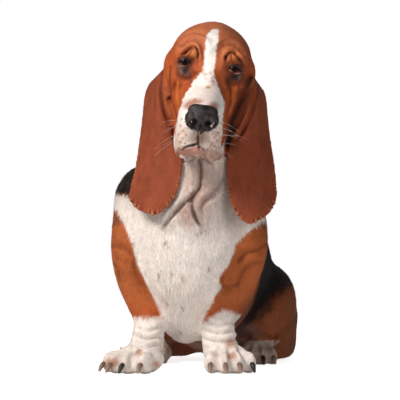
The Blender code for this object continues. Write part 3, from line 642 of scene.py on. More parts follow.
def shaded(material, inputs):
    """Finishes a material with its shader."""
    shader = add(material, "BsdfPrincipled", inputs)
    add(material, "OutputMaterial", {"Surface": (shader, "BSDF")})


# Each of the next five gives a (node, output) to link an input to.
def noise(material, scale, detail):
    """Soft noise that keeps its place on the object."""
    place = (add(material, "TexCoord"), "Object")
    return add(material, "TexNoise", {"Vector": place, "Scale": scale, "Detail": detail}), "Fac"


def ramp(material, value, *stops):
    """Colour by a value, from one (position, hex colour) to the other."""
    node = add(material, "ValToRGB", {"Fac": value})
    for element, (position, colour) in zip(node.color_ramp.elements, stops):
        element.position = position
        element.color = linear(colour)
    return node, "Color"


def ranged(material, value, low, high, to_low, to_high):
    """A value from low to high, moved to another range."""
    inputs = {"Value": value, "From Min": low, "From Max": high, "To Min": to_low, "To Max": to_high}
    return add(material, "MapRange", inputs), "Result"


def uneven(material, height, strength, distance, **settings):
    """Relief too fine for the mesh."""
    inputs = {"Height": height, "Strength": strength, "Distance": distance}
    return add(material, "Bump", inputs, **settings), "Normal"


def painted(material):
    """The colour that each point of the mesh was given."""
    return add(material, "Attribute", attribute_name="coat"), "Color"


def ball(centre, radii, faces=32):
    """An ellipsoid."""
    bm = bmesh.new()
    bmesh.ops.create_uvsphere(bm, u_segments=faces, v_segments=faces // 2, radius=1.0,
                              matrix=Matrix.Translation(centre) @ Matrix.Diagonal((*radii, 1.0)))
    return bm


def gathered(pieces, name, place=HEAD_POSE):
    """Bmeshes as one object, moved by a matrix."""
    whole = bmesh.new()
    for piece in pieces:
        join_to(whole, piece)
    bmesh.ops.transform(whole, matrix=place, verts=whole.verts)
    return object_of(whole, name)


x, y, z = NOSE
swellings = [
    ball((x, y + 0.0030, z - 0.0005), (0.0228, 0.0160, 0.0180)),
    ball((x, y + 0.0090, z + 0.0090), (0.0238, 0.0150, 0.0132)),
    ball((x, y - 0.0035, z - 0.0150), (0.0105, 0.0105, 0.0105)),
]
for q in (-1, 1):
    swellings.append(ball((x + q * 0.0158, y + 0.0005, z - 0.0005), (0.0108, 0.0138, 0.0128)))
    swellings.append(ball((x + q * 0.0100, y - 0.0015, z - 0.0110), (0.0095, 0.0105, 0.0070)))
nose = gathered(swellings, "nose_pad")
fuse(nose, NOSE_FACE)
calm(nose, 14)
nose_tree = tree_of(nose)
fold(nose, nose_tree, [(200.9, 122), (200.2, 128), (199.2, 133), (198.6, 138)], 0.0011, 0.0022, 0.5)
fold(nose, nose_tree, [(186.5, 121.5), (189, 124.5), (192.5, 126.8), (195.5, 126.5)], 0.0013, 0.0030, 0.9)
fold(nose, nose_tree, [(216.5, 121), (213.6, 124.5), (210.8, 127.8), (207.5, 129)], 0.0013, 0.0030, 0.9)
fold(nose, nose_tree, [(187.5, 112), (190.5, 109.4), (195, 108.6)], 0.0022, 0.0007, 0.6, 0.4)
co = points_of(nose)
h = in_head(co) - np.array(NOSE)
for q in (-1, 1):
    hole = np.exp(-(((h[:, 0] - q * 0.0114) / 0.0050) ** 2 + ((h[:, 2] + 0.0015) / 0.0047) ** 2) ** 1.6)
    wing = np.exp(-(((h[:, 0] - q * 0.0168) / 0.0058) ** 2 + ((h[:, 2] + 0.0058) / 0.0016) ** 2) ** 1.3)
    h[:, 1] += (hole * 0.0085 + wing * 0.0030) * (h[:, 1] < 0.004)
put_points(nose, out_of(HEAD_POSE, h + np.array(NOSE)))
calm(nose, 2)
smooth(nose)

# moist bare skin: pebbles a little over 1 mm across, a cloudy change of grey, and wet in places, so that
# the gloss breaks up
leather = new_material("moist pebbled nose skin")
place = (add(leather, "TexCoord"), "Object")
pebbles = (add(leather, "TexVoronoi", {"Vector": place, "Scale": 780.0}, feature="F1"), "Distance")
cloud = noise(leather, 95.0, 3.0)
shaded(leather, {
    "Base Color": ramp(leather, cloud, (0.36, "#120C0C"), (0.70, "#3A3131")),
    "Roughness": ranged(leather, cloud, 0.3, 0.7, 0.42, 0.66),
    "Normal": uneven(leather, pebbles, 0.55, 0.0006, invert=True),
    "Coat Weight": 0.05, "Coat Roughness": 0.30, "IOR": 1.45, "Specular IOR Level": 0.35,
})
nose.data.materials.clear()
nose.data.materials.append(leather)
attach(nose, "root")
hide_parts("nose")

# Eyes.
# Dark brown and moist, with a bulging clear front over the iris. Each is a ball in its socket, and the
# haw, the third lid, shows as a crescent over its lower inner side.
IRIS = 0.0102
PUPIL = 0.0046
LID_STEPS = 40
HAW_COLUMNS = 25
HAW_ROWS = 6


def tint(obj, colours):
    """Gives each point of a mesh its colour, linear red, green and blue."""
    layer = obj.data.color_attributes.new("coat", "FLOAT_COLOR", "POINT")
    opaque = np.column_stack([colours, np.ones(len(colours))])
    layer.data.foreach_set("color", opaque.astype(np.float32).ravel())


def blend_to(colours, hex_colour, share):
    """Moves colours towards another by that share, 0 to 1."""
    share = np.clip(share, 0, 1)[:, None]
    return colours * (1 - share) + np.array(linear(hex_colour)[:3]) * share


# the clear front gives one sharp bright spot
wet = new_material("wet eye")
shaded(wet, {
    "Base Color": painted(wet), "Roughness": 0.30, "IOR": 1.33, "Specular IOR Level": 0.08,
    "Normal": uneven(wet, noise(wet, 900.0, 2.0), 0.05, 0.0002),
    "Coat Weight": 0.07, "Coat Roughness": 0.03,
})
# thin bare skin kept wet by the eye: a soft shine
rim_skin = new_material("wet skin of the lid's rim")
shaded(rim_skin, {
    "Base Color": painted(rim_skin), "Roughness": 0.34, "Coat Weight": 0.35, "Coat Roughness": 0.15,
    "Normal": uneven(rim_skin, noise(rim_skin, 1400.0, 2.0), 0.35, 0.0003),
})


def rope(points, radii, sides):
    """A tube through points, in bmesh, with closed ends. Radii are (across, deep) at each point."""
    bm = bmesh.new()
    rings = []
    p = np.array(points, float)
    way = np.gradient(p, axis=0)
    way /= np.linalg.norm(way, axis=1)[:, None]
    up = np.array((0.0, -1.0, 0.12))
    for centre, ahead, (wide, deep) in zip(p, way, radii):
        side = np.cross(ahead, up)
        side /= np.linalg.norm(side)
        top = np.cross(side, ahead)
        turn = np.arange(sides) * 2 * math.pi / sides
        ring = centre + np.outer(np.cos(turn) * wide, side) + np.outer(np.sin(turn) * deep, top)
        rings.append([bm.verts.new(tuple(point)) for point in ring])
    for first, second in zip(rings, rings[1:]):
        for k in range(sides):
            bm.faces.new((first[k], first[(k + 1) % sides], second[(k + 1) % sides], second[k]))
    bm.faces.new(rings[0][::-1])
    bm.faces.new(rings[-1])
    bmesh.ops.recalc_face_normals(bm, faces=bm.faces)
    return bm


def lid_edge(q, turn, radius):
    """A place on the edge of the opening between the lids, in the eye's frame."""
    wide, over, under = ALMOND
    x = wide * math.cos(turn)
    sag = 1.0 + 0.16 * math.sin(max(-1.0, min(1.0, q * x / wide)) * 1.2)
    z = (over if math.sin(turn) > 0 else under * sag) * math.sin(turn) - 0.16 * q * x
    return Vector((x, -math.sqrt(max(radius ** 2 - x * x - z * z, 1e-9)), z))


for q, side, haw_colour in ((-1, "right", "#4A3C3E"), (1, "left", "#C58D90")):
    globe = ball((0, 0, 0), (EYE_RADIUS,) * 3, 72)
    for vert in globe.verts:
        vert.co = Vector((vert.co.x, -vert.co.z, vert.co.y))
        off = math.hypot(vert.co.x, vert.co.z)
        if vert.co.y < 0 and off < IRIS:
            vert.co.y -= 0.0012 * (1 - (off / IRIS) ** 2)
    bmesh.ops.recalc_face_normals(globe, faces=globe.faces)
    eye = gathered([globe], "eyeball_" + side, eye_place(q))
    local = in_eye(points_of(eye), q)
    off = np.hypot(local[:, 0], local[:, 2])
    ray = np.arctan2(local[:, 2], local[:, 0])
    colours = np.tile(linear("#32130A")[:3], (len(local), 1))
    # painted light: the lower iris paler, as though lit through the clear front
    lit_below = np.clip(-local[:, 2] / 0.0046 - 0.15, 0, 1)
    colours = blend_to(colours, "#8A3A18", lit_below * (0.65 + 0.35 * np.sin(ray * 31)))
    colours = blend_to(colours, "#060404", np.clip((PUPIL - off) / 0.0006 + 0.5, 0, 1))
    colours = blend_to(colours, "#0B0707", np.clip((off - IRIS * 0.90) / 0.0012, 0, 1))
    colours = blend_to(colours, "#38241F", np.clip((off - IRIS * 1.06) / 0.0010, 0, 1))
    tint(eye, colours * (local[:, 1] < 0.004)[:, None])
    eye.data.materials.append(wet)
    smooth(eye)
    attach(eye, "root")

    edge = [lid_edge(q, k / LID_STEPS * 2 * math.pi, EYE_RADIUS + LID * 0.55) for k in range(LID_STEPS + 1)]
    edge = [eye_place(q) @ point for point in edge]
    rim = object_of(rope(edge, [(0.00095, 0.00085)] * len(edge), 12), "lid_rim_" + side)
    tint(rim, np.tile(linear("#120C0D")[:3], (len(rim.data.vertices), 1)))
    rim.data.materials.append(rim_skin)
    smooth(rim)
    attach(rim, "root")

    sheet = bmesh.new()
    grid = []
    for i in range(HAW_COLUMNS):
        turn = math.pi * (1.02 + 0.96 * i / (HAW_COLUMNS - 1))
        low = lid_edge(q, turn, EYE_RADIUS + 0.0007)
        inner = 0.30 + 0.45 * (0.5 - 0.5 * q * math.cos(turn)) ** 1.5
        line = []
        for k in range(HAW_ROWS):
            rise = k / (HAW_ROWS - 1) * inner
            point = Vector((low.x * (1 - 0.25 * rise), 0, low.z * (1 - rise)))
            radius = EYE_RADIUS + 0.0007 - 0.0009 * (k / (HAW_ROWS - 1)) ** 3
            point.y = -math.sqrt(max(radius ** 2 - point.x ** 2 - point.z ** 2, 1e-9))
            line.append(sheet.verts.new(point))
        grid.append(line)
    for first, second in zip(grid, grid[1:]):
        for k in range(HAW_ROWS - 1):
            sheet.faces.new((first[k], first[k + 1], second[k + 1], second[k]))
    bmesh.ops.recalc_face_normals(sheet, faces=sheet.faces)
    haw = gathered([sheet], "haw_" + side, eye_place(q))
    colours = np.tile(linear(haw_colour)[:3], (len(haw.data.vertices), 1))
    row = np.tile(np.arange(HAW_ROWS), HAW_COLUMNS)
    tint(haw, blend_to(colours, "#1C1113", (row == HAW_ROWS - 1) * 0.8 + (row == 0) * 0.5))
    haw.data.materials.append(rim_skin)
    smooth(haw)
    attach(haw, "root")

# Claws.
# Blunt, curved horn, black on three toes and pale on the rest, worn square at the tip. Each grows out
# of the end of a toe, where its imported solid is.
# dense horn, scuffed by walking: a dull gloss
horn = new_material("claw horn")
growth = noise(horn, 620.0, 3.0)
shaded(horn, {
    "Base Color": painted(horn), "Roughness": ranged(horn, growth, 0.3, 0.7, 0.34, 0.52),
    "Normal": uneven(horn, growth, 0.30, 0.0004),
})
CLAW_SIDES = 14
BLACK_CLAWS = {"forepaw_right": (2,), "forepaw_left": (3,), "hindpaw_left": (2,), "hindpaw_right": ()}

for paw in PAWS:
    high = PAWS[paw][3]
    pieces = []
    tones = []
    for k, ((x, y, z), heading, a, b, h) in enumerate(toe_places(paw)):
        c, w = math.cos(heading), math.sin(heading)
        stations = [
            (b * 0.62, 0.0165, 0.0036, 0.0040), (b * 0.90, 0.0145, 0.0040, 0.0045),
            (b * 1.05, 0.0110, 0.0036, 0.0042), (b * 1.13, 0.0078, 0.0030, 0.0036),
            (b * 1.13 + 0.0026, 0.0040, 0.0020, 0.0025), (b * 1.13 + 0.0030, 0.0034, 0.0011, 0.0014),
        ]
        rows = along(stations, 5)
        points = [(x + reach * w, y - reach * c, height * high) for reach, height, _, _ in rows]
        pieces.append(rope(points, [(wide, deep) for _, _, wide, deep in rows], CLAW_SIDES))
        black = k in BLACK_CLAWS[paw]
        tone = np.tile(linear("#15100F" if black else "#8E7463")[:3], (len(pieces[-1].verts), 1))
        rise = np.repeat(np.linspace(0, 1, len(rows)), CLAW_SIDES)
        if not black:
            tone = blend_to(tone, "#5E4238", np.clip(1 - rise / 0.75, 0, 1))
        tones.append(blend_to(tone, "#3A322F" if black else "#B9A592", np.clip(rise * 5 - 4, 0, 0.6)))
    claws = gathered(pieces, "claws_" + paw, Matrix())
    tint(claws, np.vstack(tones))
    claws.data.materials.append(horn)
    smooth(claws)
    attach(claws, "root")
    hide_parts(*[f"claw_{paw}_{k + 1}" for k in range(TOES)])

# Markings.
# A tricolour: red-tan head and legs, a black blanket over the back, white on the muzzle, blaze, breast
# and feet. Skin and hair wear the same colours, from one function of where a point lies on the hound.
ROOMS = [name for name in FLESH if not name.startswith("eye")]
EAR_NEAR = 0.0016  # a point of the hide as near as this to an ear's own mesh is the ear's
PELVIS = Vector((0.0425, 0.1565, 0.0))
BODY_TURN = math.radians(10.0)
# Outlines of the white, the lips and the black on the shoulder, in picture points
BLAZE = [
    (212, 29), (206.3, 35), (205, 45), (204.4, 56.3), (203.8, 65), (202.5, 71.3), (196.3, 76.3),
    (191.3, 85), (183.8, 95), (180, 105), (178, 112.5), (176.9, 118.8), (175, 127.5), (174.4, 140),
    (173.8, 147.5), (174, 156), (182, 156), (200, 165), (218, 166), (223.5, 160), (223.8, 152.5),
    (221.3, 146), (221.9, 137.5), (223.1, 127.5), (223.8, 118.8), (224.4, 110), (225, 102.5),
    (223.8, 98.8), (221.3, 92.5), (218.1, 85), (215, 77.5), (213.8, 71.3), (215, 62.5), (216.3, 51.3),
    (218.8, 40), (218.1, 29),
]
LIPS = [
    (183, 150.5), (187, 148), (193, 146.2), (198, 145.6), (202, 148.5), (206, 152.5), (205.5, 156),
    (201, 156.5), (197, 154.5), (191, 155.5), (186, 155),
]
BREAST = [
    (137, 197), (115, 193), (112, 205), (120, 215), (130, 240), (137, 265), (144, 280), (150, 293),
    (160, 311), (168, 335), (180, 346), (200, 348), (202, 323), (212, 304), (222, 287), (220, 277),
    (224, 272), (231, 262), (236, 245), (244, 236), (255, 228), (266, 219), (262, 190), (250, 160),
    (236, 156), (222, 157), (200, 150), (183, 146), (150, 150),
]
# Lines of the mouth, the lips' dark edge with painted shade in the creases between and under the lips:
# picture points, width, colour, share
MOUTH_LINES = [
    ([(181.5, 150.5), (185.5, 147.2), (191, 145.4), (195.6, 144.2), (198.2, 143.0)], 0.9, "#241110", 0.90),
    ([(198.2, 134), (198.2, 138), (198.2, 142), (198.8, 148)], 0.6, "#3A2420", 0.60),
    ([(199, 146), (203, 149.0), (207, 152.5)], 0.8, "#5A3A33", 0.55),
    ([(177, 153), (178.5, 157.5), (183, 160.5), (188.5, 160), (193, 157)], 0.9, "#57301F", 0.70),
    ([(204, 155), (207, 160), (212, 162.5), (217.5, 161.5), (221, 156)], 0.9, "#57301F", 0.60),
    ([(176.5, 152), (180, 152.5), (184, 154.5)], 0.7, "#7A4A36", 0.50),
]
# Painted shade and painted highlight on the face: painted shade in the creases, in the gap between cheek
# and ear and towards the sides of the head, painted highlight on the brows and the rolls: lines of picture
# points, width, colour, share
FACE_PAINTED_SHADE_AND_HIGHLIGHT = [
    ([(251, 78), (245, 92), (238.5, 107), (233, 121), (229.5, 134), (227, 144)], 4.2, "#1E0904", 0.95),
    ([(255.5, 82), (253, 98), (247.5, 113), (241, 126), (234, 138)], 1.9, "#A8552C", 0.55),
    ([(259, 84), (257, 100), (251.5, 116), (245, 129), (238, 140)], 1.0, "#4A1B0E", 0.60),
    ([(239, 84), (238, 98), (233, 112), (228, 124)], 1.3, "#5A2412", 0.55),
    ([(230, 88), (230.5, 100), (228, 113)], 1.3, "#5A2412", 0.50),
    ([(235, 88), (234, 100), (230.5, 114)], 1.3, "#C06A35", 0.45),
    ([(166, 72), (165, 90), (168, 108), (173, 120)], 2.2, "#B8622F", 0.55),
    ([(162.3, 70), (161, 90), (164, 109), (170.5, 123)], 0.9, "#5A2110", 0.65),
    ([(170.3, 66), (169.8, 80), (171.5, 98), (175, 112), (177, 121)], 0.9, "#4A1A0C", 0.70),
    ([(174.5, 80), (174, 94), (176, 106)], 0.9, "#7A3216", 0.45),
    ([(181, 84), (179.5, 96), (178, 106)], 1.0, "#8A3C1A", 0.40),
    ([(177.5, 82), (176.8, 94), (177.5, 104)], 1.0, "#D0803F", 0.45),
    ([(187, 84), (184, 92), (182, 100)], 1.6, "#8A4426", 0.35),
    ([(192, 70), (196, 74)], 1.6, "#3A140A", 0.40),
    ([(166, 52), (171, 40), (180, 30), (192, 23)], 4.5, "#8E4A2E", 0.45),
    ([(250, 62), (246, 48), (238, 36), (228, 27)], 5.5, "#7A3A22", 0.55),
    ([(189, 54), (194, 51.5), (196, 56)], 2.6, "#CB7B42", 0.60),
    ([(185, 46.5), (192, 44), (198.5, 47)], 1.6, "#C97A46", 0.60),
    ([(222.5, 54), (226.5, 49.5), (233, 49.5), (239, 54)], 1.6, "#C0703C", 0.60),
    ([(229, 58), (232.5, 57), (235, 60)], 2.4, "#B8662F", 0.55),
    ([(219, 80), (221.5, 88), (224, 97)], 2.6, "#7E4630", 0.55),
    ([(243, 72), (245.5, 84), (242, 98)], 2.6, "#6A2A14", 0.55),
]
BREAST_TICKS = [
    (123, 231), (133, 244), (165, 243), (199, 233), (158.5, 275), (172, 273), (183, 278), (209, 269),
    (182.6, 308), (178, 331),
]
MUZZLE_TICKS = [
    (180, 126), (183, 131), (178.5, 134), (182, 138), (186, 135), (180, 142), (184.5, 143), (216, 128),
    (219, 133), (214, 137), (218, 141), (213, 143), (216, 147), (210.5, 146), (219.5, 148), (214, 151),
    (217, 109), (219, 116), (187, 128), (206, 74), (214, 82), (185, 122), (181, 119), (221, 123),
    (212, 134), (208, 150), (211, 155), (190, 149), (179, 149), (217.5, 154), (214.5, 145.5),
]
SHOULDER = [(108, 150), (141, 132), (143, 188), (136, 195), (122, 192.5), (108, 194)]
# Soft ovals of colour: across, down, half width, half height, colour, share. On the muzzle they are stains
# and the pinkish flews, with painted shade under the nose pad; round the eyes the dark lids and the brown
# round them, partly painted shade in the socket and under the brow, the grey skin under them, and the mark
# of tears
MUZZLE_STAINS_AND_SHADE = [
    (183, 155, 10, 7, "#A77964", 0.85), (197, 159, 12, 4, "#9C6B58", 0.70),
    (179, 155, 5.5, 6.5, "#A06E5A", 0.80), (213, 157, 10, 7, "#9A6C58", 0.70),
    (199, 137, 11, 9, "#6E564B", 0.90), (208.5, 87, 2.2, 1.6, "#B4764F", 0.90),
]
LID_SHADES = [
    (185.5, 62, 10.5, 9.0, "#7C3517", 0.75), (235.5, 69, 11.5, 10.0, "#6E2F16", 0.75),
    (184.5, 71.0, 7.4, 7.4, "#38302F", 0.92), (235.0, 77.5, 8.8, 6.8, "#2A2122", 0.92),
    (185.8, 60.5, 8.8, 5.2, "#1A100F", 0.96), (235.5, 67.5, 9.4, 5.8, "#160E0E", 0.96),
    (189.6, 77.5, 1.8, 5.5, "#5A4038", 0.75), (228.5, 82.0, 2.8, 7.5, "#4A2B20", 0.80),
    (181.0, 70.0, 2.0, 4.5, "#857E7D", 0.50), (239.5, 77.0, 2.0, 3.5, "#7A7272", 0.50),
]
SOCK_STAINS = [(231, 343, 5, 4.5), (232, 356, 5, 4), (157, 365, 4, 4), (112, 362, 8, 5), (139, 352, 3, 3)]
# How high up the side the black ends, from the shoulders to the rump: (Y, height)
BLANKET_EDGE = [
    (-0.19, 0.400), (-0.16, 0.320), (-0.13, 0.265), (-0.105, 0.220), (-0.085, 0.175), (-0.06, 0.110),
    (-0.02, 0.080), (0.20, 0.065),
]


def speckle(points, size, seed):
    """Smooth noise from -1 to 1, whose spots are about that size across."""
    p = points / size + seed * 17.3
    cell = np.floor(p).astype(np.int64)
    part = p - cell
    part = part * part * (3 - 2 * part)
    total = np.zeros(len(p))
    for corner in range(8):
        beside = np.array((corner & 1, corner >> 1 & 1, corner >> 2 & 1))
        n = (cell + beside) @ np.array((73856093, 19349663, 83492791)) + seed * 7919
        n = (n ^ (n >> 13)) * 1274126177 & 0x7FFFFFFF
        n = (n ^ (n >> 16)) * 1103515245 & 0x7FFFFFFF
        share = np.where(beside, part, 1 - part).prod(axis=1)
        total += share * ((n >> 8 & 0xFFFF) / 32767.5 - 1)
    return total


def inside(across, down, outline):
    """How far within a closed outline of picture points each point lies. Below zero is outside."""
    best = np.full(len(across), 1e9)
    crossed = np.zeros(len(across), bool)
    line = np.array(outline, float)
    for (x0, y0), (x1, y1) in zip(line, np.roll(line, -1, axis=0)):
        t = ((across - x0) * (x1 - x0) + (down - y0) * (y1 - y0)) / ((x1 - x0) ** 2 + (y1 - y0) ** 2)
        t = np.clip(t, 0, 1)
        best = np.minimum(best, np.hypot(across - x0 - t * (x1 - x0), down - y0 - t * (y1 - y0)))
        if y0 != y1:
            crossed ^= ((y0 > down) != (y1 > down)) & (across < (x1 - x0) * (down - y0) / (y1 - y0) + x0)
    return np.where(crossed, best, -best)


packed = flesh_of(ROOMS, 0.0)
room_of_face = []
for k, name in enumerate(ROOMS):
    room_of_face += [k] * len(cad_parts[name].data.polygons)
packed.faces.ensure_lookup_table()
room_tree = BVHTree.FromBMesh(packed)
assert len(room_of_face) == len(packed.faces)
packed.free()


def rooms_of(points):
    """Which of the hound's parts each point lies on. The ears are the last one."""
    rooms = np.zeros(len(points), int)
    for k, point in enumerate(map(Vector, points)):
        if any(tree.find_nearest(point, EAR_NEAR)[0] is not None for tree in ear_trees):
            rooms[k] = len(ROOMS)
        else:
            rooms[k] = room_of_face[room_tree.find_nearest(point)[2]]
    return rooms


def is_room(rooms, *names):
    return np.isin(rooms, [ROOMS.index(name) for name in names])


def coat_colours(points, normals, rooms):
    """The coat's colour at each point, linear red, green and blue, with painted shade and painted highlight
    in it.
    """
    # fine noise for ragged edges, broad noise for cloudy fields
    ragged = speckle(points, 0.0050, 1) * 0.9 + speckle(points, 0.0024, 2) * 0.6
    cloudy = speckle(points, 0.030, 3) * 0.6 + speckle(points, 0.012, 4) * 0.4
    across, down = in_picture(points + normals * 0.001)
    places = np.column_stack([across, down, np.zeros(len(points))])
    u, v = across + ragged * 0.9, down + ragged * 0.9
    ahead = np.array(CAMERA_AT) - points
    ahead /= np.linalg.norm(ahead, axis=1)[:, None]
    facing = (normals * ahead).sum(axis=1)
    h = in_head(points)
    c, s = math.cos(BODY_TURN), math.sin(BODY_TURN)
    lateral = (points[:, 0] - PELVIS.x) * c - (points[:, 1] - PELVIS.y) * s
    y, z = points[:, 1], points[:, 2]
    colours = np.tile(linear("#AC5229")[:3], (len(points), 1))

    def on(*names):
        """Which points lie on these parts."""
        return is_room(rooms, *names)

    def dye(tone, share):
        """Moves the colours towards another by that share."""
        colours[:] = blend_to(colours, tone, share)

    def spot(x, y, wide, high):
        """1 at the middle of an oval of picture points, fading out at its edge."""
        return np.exp(-(((u - x) / wide) ** 2 + ((v - y) / high) ** 2) ** 1.5)

    def away(line):
        """How far each point is, in the picture, from a line of picture points."""
        return along_line(places, [(a, b, 0.0) for a, b in along(line, 3)])[0]

    ears = rooms == len(ROOMS)
    head, neck, tail = on("head", "nose"), on("neck"), on("tail")
    body = on("neck", "chest", "loin")
    hind = on("hindleg_left", "hindleg_right")
    fore = on("foreleg_left", "foreleg_right")
    low_neck = neck * step(0.455 - z + ragged * 0.006, -0.012, 0.014)
    # the crown paler: partly its own tone, partly painted sheen on the top of the head
    dye("#BE6D48", head * step(h[:, 2], 0.0, 0.035))
    dye("#92482E", ears * 1.0)
    dye("#6E2F1C", ears * step(cloudy, 0.0, 0.7) * 0.45)
    # painted highlight on the crests of the rim's puckers and painted shade in their troughs
    for name, q in (("ear_right", -1), ("ear_left", 1)):
        crimp, wave = crimps(points, name)
        mine = ears * (q * (points[:, 0] - EARS_PART_AT) > 0)
        dye("#BC744A", mine * step(crimp, 0.12, 0.55) * step(wave, 0.0, 0.7) * 0.75)
        dye("#481A0E", mine * step(crimp, 0.10, 0.5) * step(-wave, 0.1, 0.8) * 0.70)
    # the black blanket, its edge tan, then the belly, brown and partly painted shade between the legs
    edge = np.interp(y, *zip(*BLANKET_EDGE))
    far_out = hind | (np.abs(lateral) > 0.085) & (y > 0.0)
    edge = np.where(far_out, 0.066 + 1.2 * (np.abs(lateral) - 0.07), edge)
    back = z - edge + ragged * 0.007 + 0.010 * cloudy
    trunk = body | hind | tail
    neck_top = neck * (1 - low_neck)
    dye("#91502F", trunk * (1 - neck_top))
    blanket = (trunk | fore) * step(back, -0.016, 0.018)
    blanket = blanket * step(y + ragged * 0.005, -0.195, -0.165) * (1 - neck_top)
    nape = on("neck", "chest") & (normals[:, 1] > -0.25)
    blanket = np.maximum(blanket, nape * low_neck * step(0.440 - z, 0.0, 0.03) * step(y, -0.21, -0.18))
    dye("#1A1211", blanket)
    # belly and inner haunches: partly their own tone, partly painted shade between the legs
    belly = body * step(-back, 0.020, 0.045) * step(0.125 - z, 0.0, 0.03)
    belly = belly + hind * step(0.055 - np.abs(lateral), 0.0, 0.02)
    dye("#8A614C", belly * (y < 0.16))
    # breast and throat
    side_line = np.where(neck, -0.172, -0.118)
    front = step(facing, -0.15, 0.10) * step(side_line - y + ragged * 0.006 + 0.010 * cloudy, -0.008, 0.010)
    breast = step(inside(u, v, BREAST), -1.0, 1.2)
    white = (body | fore | head & (h[:, 2] < -0.070)) * front * breast
    throat = head & (h[:, 2] < -0.082) & (np.abs(h[:, 0]) < 0.040)
    throat = throat | neck & (normals[:, 1] < -0.1) & (normals[:, 2] < -0.2)
    white = np.maximum(white, throat * 1.0)
    dye("#E9DED6", white)
    dye("#C9B5A8", white * step(cloudy, 0.0, 0.9) * 0.6)
    # the throat under the jaw pinkish, and darkened by painted shade under the head
    under_jaw_tone_and_shade = np.minimum(1, spot(203, 180, 25, 36) + spot(190, 212, 17, 16))
    dye("#AD8676", white * under_jaw_tone_and_shade * (0.62 + 0.2 * cloudy))
    # painted shade along the creases of the dewlap
    for line, *_ in DEWLAP_FOLDS:
        gap = away(line)
        dye("#74493A", white * (0.16 * np.exp(-(gap / 3.0) ** 2) + 0.42 * np.exp(-(gap / 0.9) ** 2)))
    shoulder = body * step(inside(u, v, SHOULDER), -1.5, 2.0) * (y > -0.235) * step(facing, -0.3, 0.0)
    dye("#1D1615", shoulder)
    dye("#77675C", shoulder * step(speckle(points * np.array((1, 1, 0.3)), 0.0026, 9), 0.1, 0.8) * 0.38)
    for x, high in BREAST_TICKS:
        dye("#8F6046", white * spot(x, high, 1.7, 2.1) * 0.85)
    # blaze and muzzle
    muzzle = head * step(facing, -0.30, 0.0) * (h[:, 1] < 0.075)
    blaze = muzzle * step(inside(u, v, BLAZE), -0.7, 0.8)
    mottled = spot(214.5, 77, 5.0, 11.0) * step(ragged, 0.0, 0.5)
    mottled = mottled + spot(203, 72, 3.0, 8.0) * step(ragged, 0.1, 0.6)
    dye("#F4ECE6", blaze * (1 - 0.6 * mottled))
    dye("#F3DED6", blaze * spot(203, 93, 13, 17) * 0.8)
    # darker towards the bottom of the muzzle: partly its own tone, partly painted shade
    dye("#C9AFA1", blaze * step(v, 110, 140) * (0.80 + 0.2 * cloudy))
    dye("#C08A6C", blaze * spot(180, 136, 7, 12) * step(ragged, 0.0, 0.7) * 0.60)
    dye("#8F6B59", blaze * spot(214, 142, 9, 18) * step(ragged, -0.3, 0.6) * 0.55)
    # stains, the flews' pinkish tone, and painted shade under the nose pad
    for *oval, tone, share in MUZZLE_STAINS_AND_SHADE:
        dye(tone, blaze * spot(*oval) * share)
    for x, high in MUZZLE_TICKS:
        dye("#7C5140", blaze * spot(x, high, 1.2, 1.1) * 0.70)
    dye("#A9643F", muzzle * np.minimum(1, spot(188, 105, 6.0, 4.2) + spot(196, 100.8, 7.5, 2.8)) * 0.85)
    dye("#A9643F", muzzle * spot(213.5, 105.5, 5.6, 4.6) * 0.85)
    lips = inside(u, v, LIPS)
    dye("#A87466", muzzle * step(lips, -1.2, 2.0) * 0.9)
    dye("#7A5045", muzzle * step(lips, -0.8, 1.5) * step(cloudy, 0.0, 0.5) * 0.6)
    dye("#5C3A33", muzzle * (step(lips, -1.8, -0.2) - step(lips, 0.2, 1.6)) * 0.25)
    for line, width, tone, share in MOUTH_LINES:
        dye(tone, muzzle * np.exp(-(away(line) / width) ** 2) * share)
    # lids, then painted shade along the hooked brow folds and in the creases of face and ears, and painted
    # highlight on the brows and rolls
    face = head * step(facing, -0.2, 0.1) * (h[:, 1] < 0.04)
    # the lids' own dark and grey, partly painted shade in the socket and under the brow
    for *oval, tone, share in LID_SHADES:
        dye(tone, face * spot(*oval) * share)
    # painted shade in the brow folds
    for k, (line, *_) in enumerate(EYE_FOLDS):
        share = 0.65 if k in (0, 3) else 0.28
        dye("#4A1A0C", face * (1 - blaze) * np.exp(-(away(line) / 0.9) ** 2) * share)
    # the tan of head and ears that takes the face's painted shade and painted highlight
    tan = (head | ears) * step(facing, -0.2, 0.2) * (1 - blaze)
    for line, width, tone, share in FACE_PAINTED_SHADE_AND_HIGHLIGHT:
        dye(tone, tan * np.exp(-(away(line) / width) ** 2) * share)
    # legs and feet
    legs = fore | on("forepaw_left", "forepaw_right")
    dye("#B05E32", legs * (1 - blanket) * (1 - white) * step(z, 0.09, 0.12))
    # painted shade in the creases of the elbows, legs and haunch
    creased = (fore | hind | body & (z < 0.25)) * step(facing, -0.2, 0.2) * (1 - white)
    for line, *_ in LIMB_FOLDS:
        dye("#4A1F10", creased * np.exp(-(away(line) / 1.5) ** 2) * 0.50)
    dye("#8A6A60", (hind | body) * (y > -0.06) * step(facing, 0.0, 0.3) * spot(250, 333, 13, 10) * 0.7)
    sock = 0.088 + 0.012 * np.cos((points[:, 0] - 0.040) * 60) * (points[:, 0] > -0.02) + ragged * 0.004
    sock = legs * step(sock - z, -0.004, 0.006)
    dye("#EEE3DB", sock)
    for oval in SOCK_STAINS:
        dye("#C07A50", sock * step(facing, 0, 0.3) * spot(*oval) * 0.75)
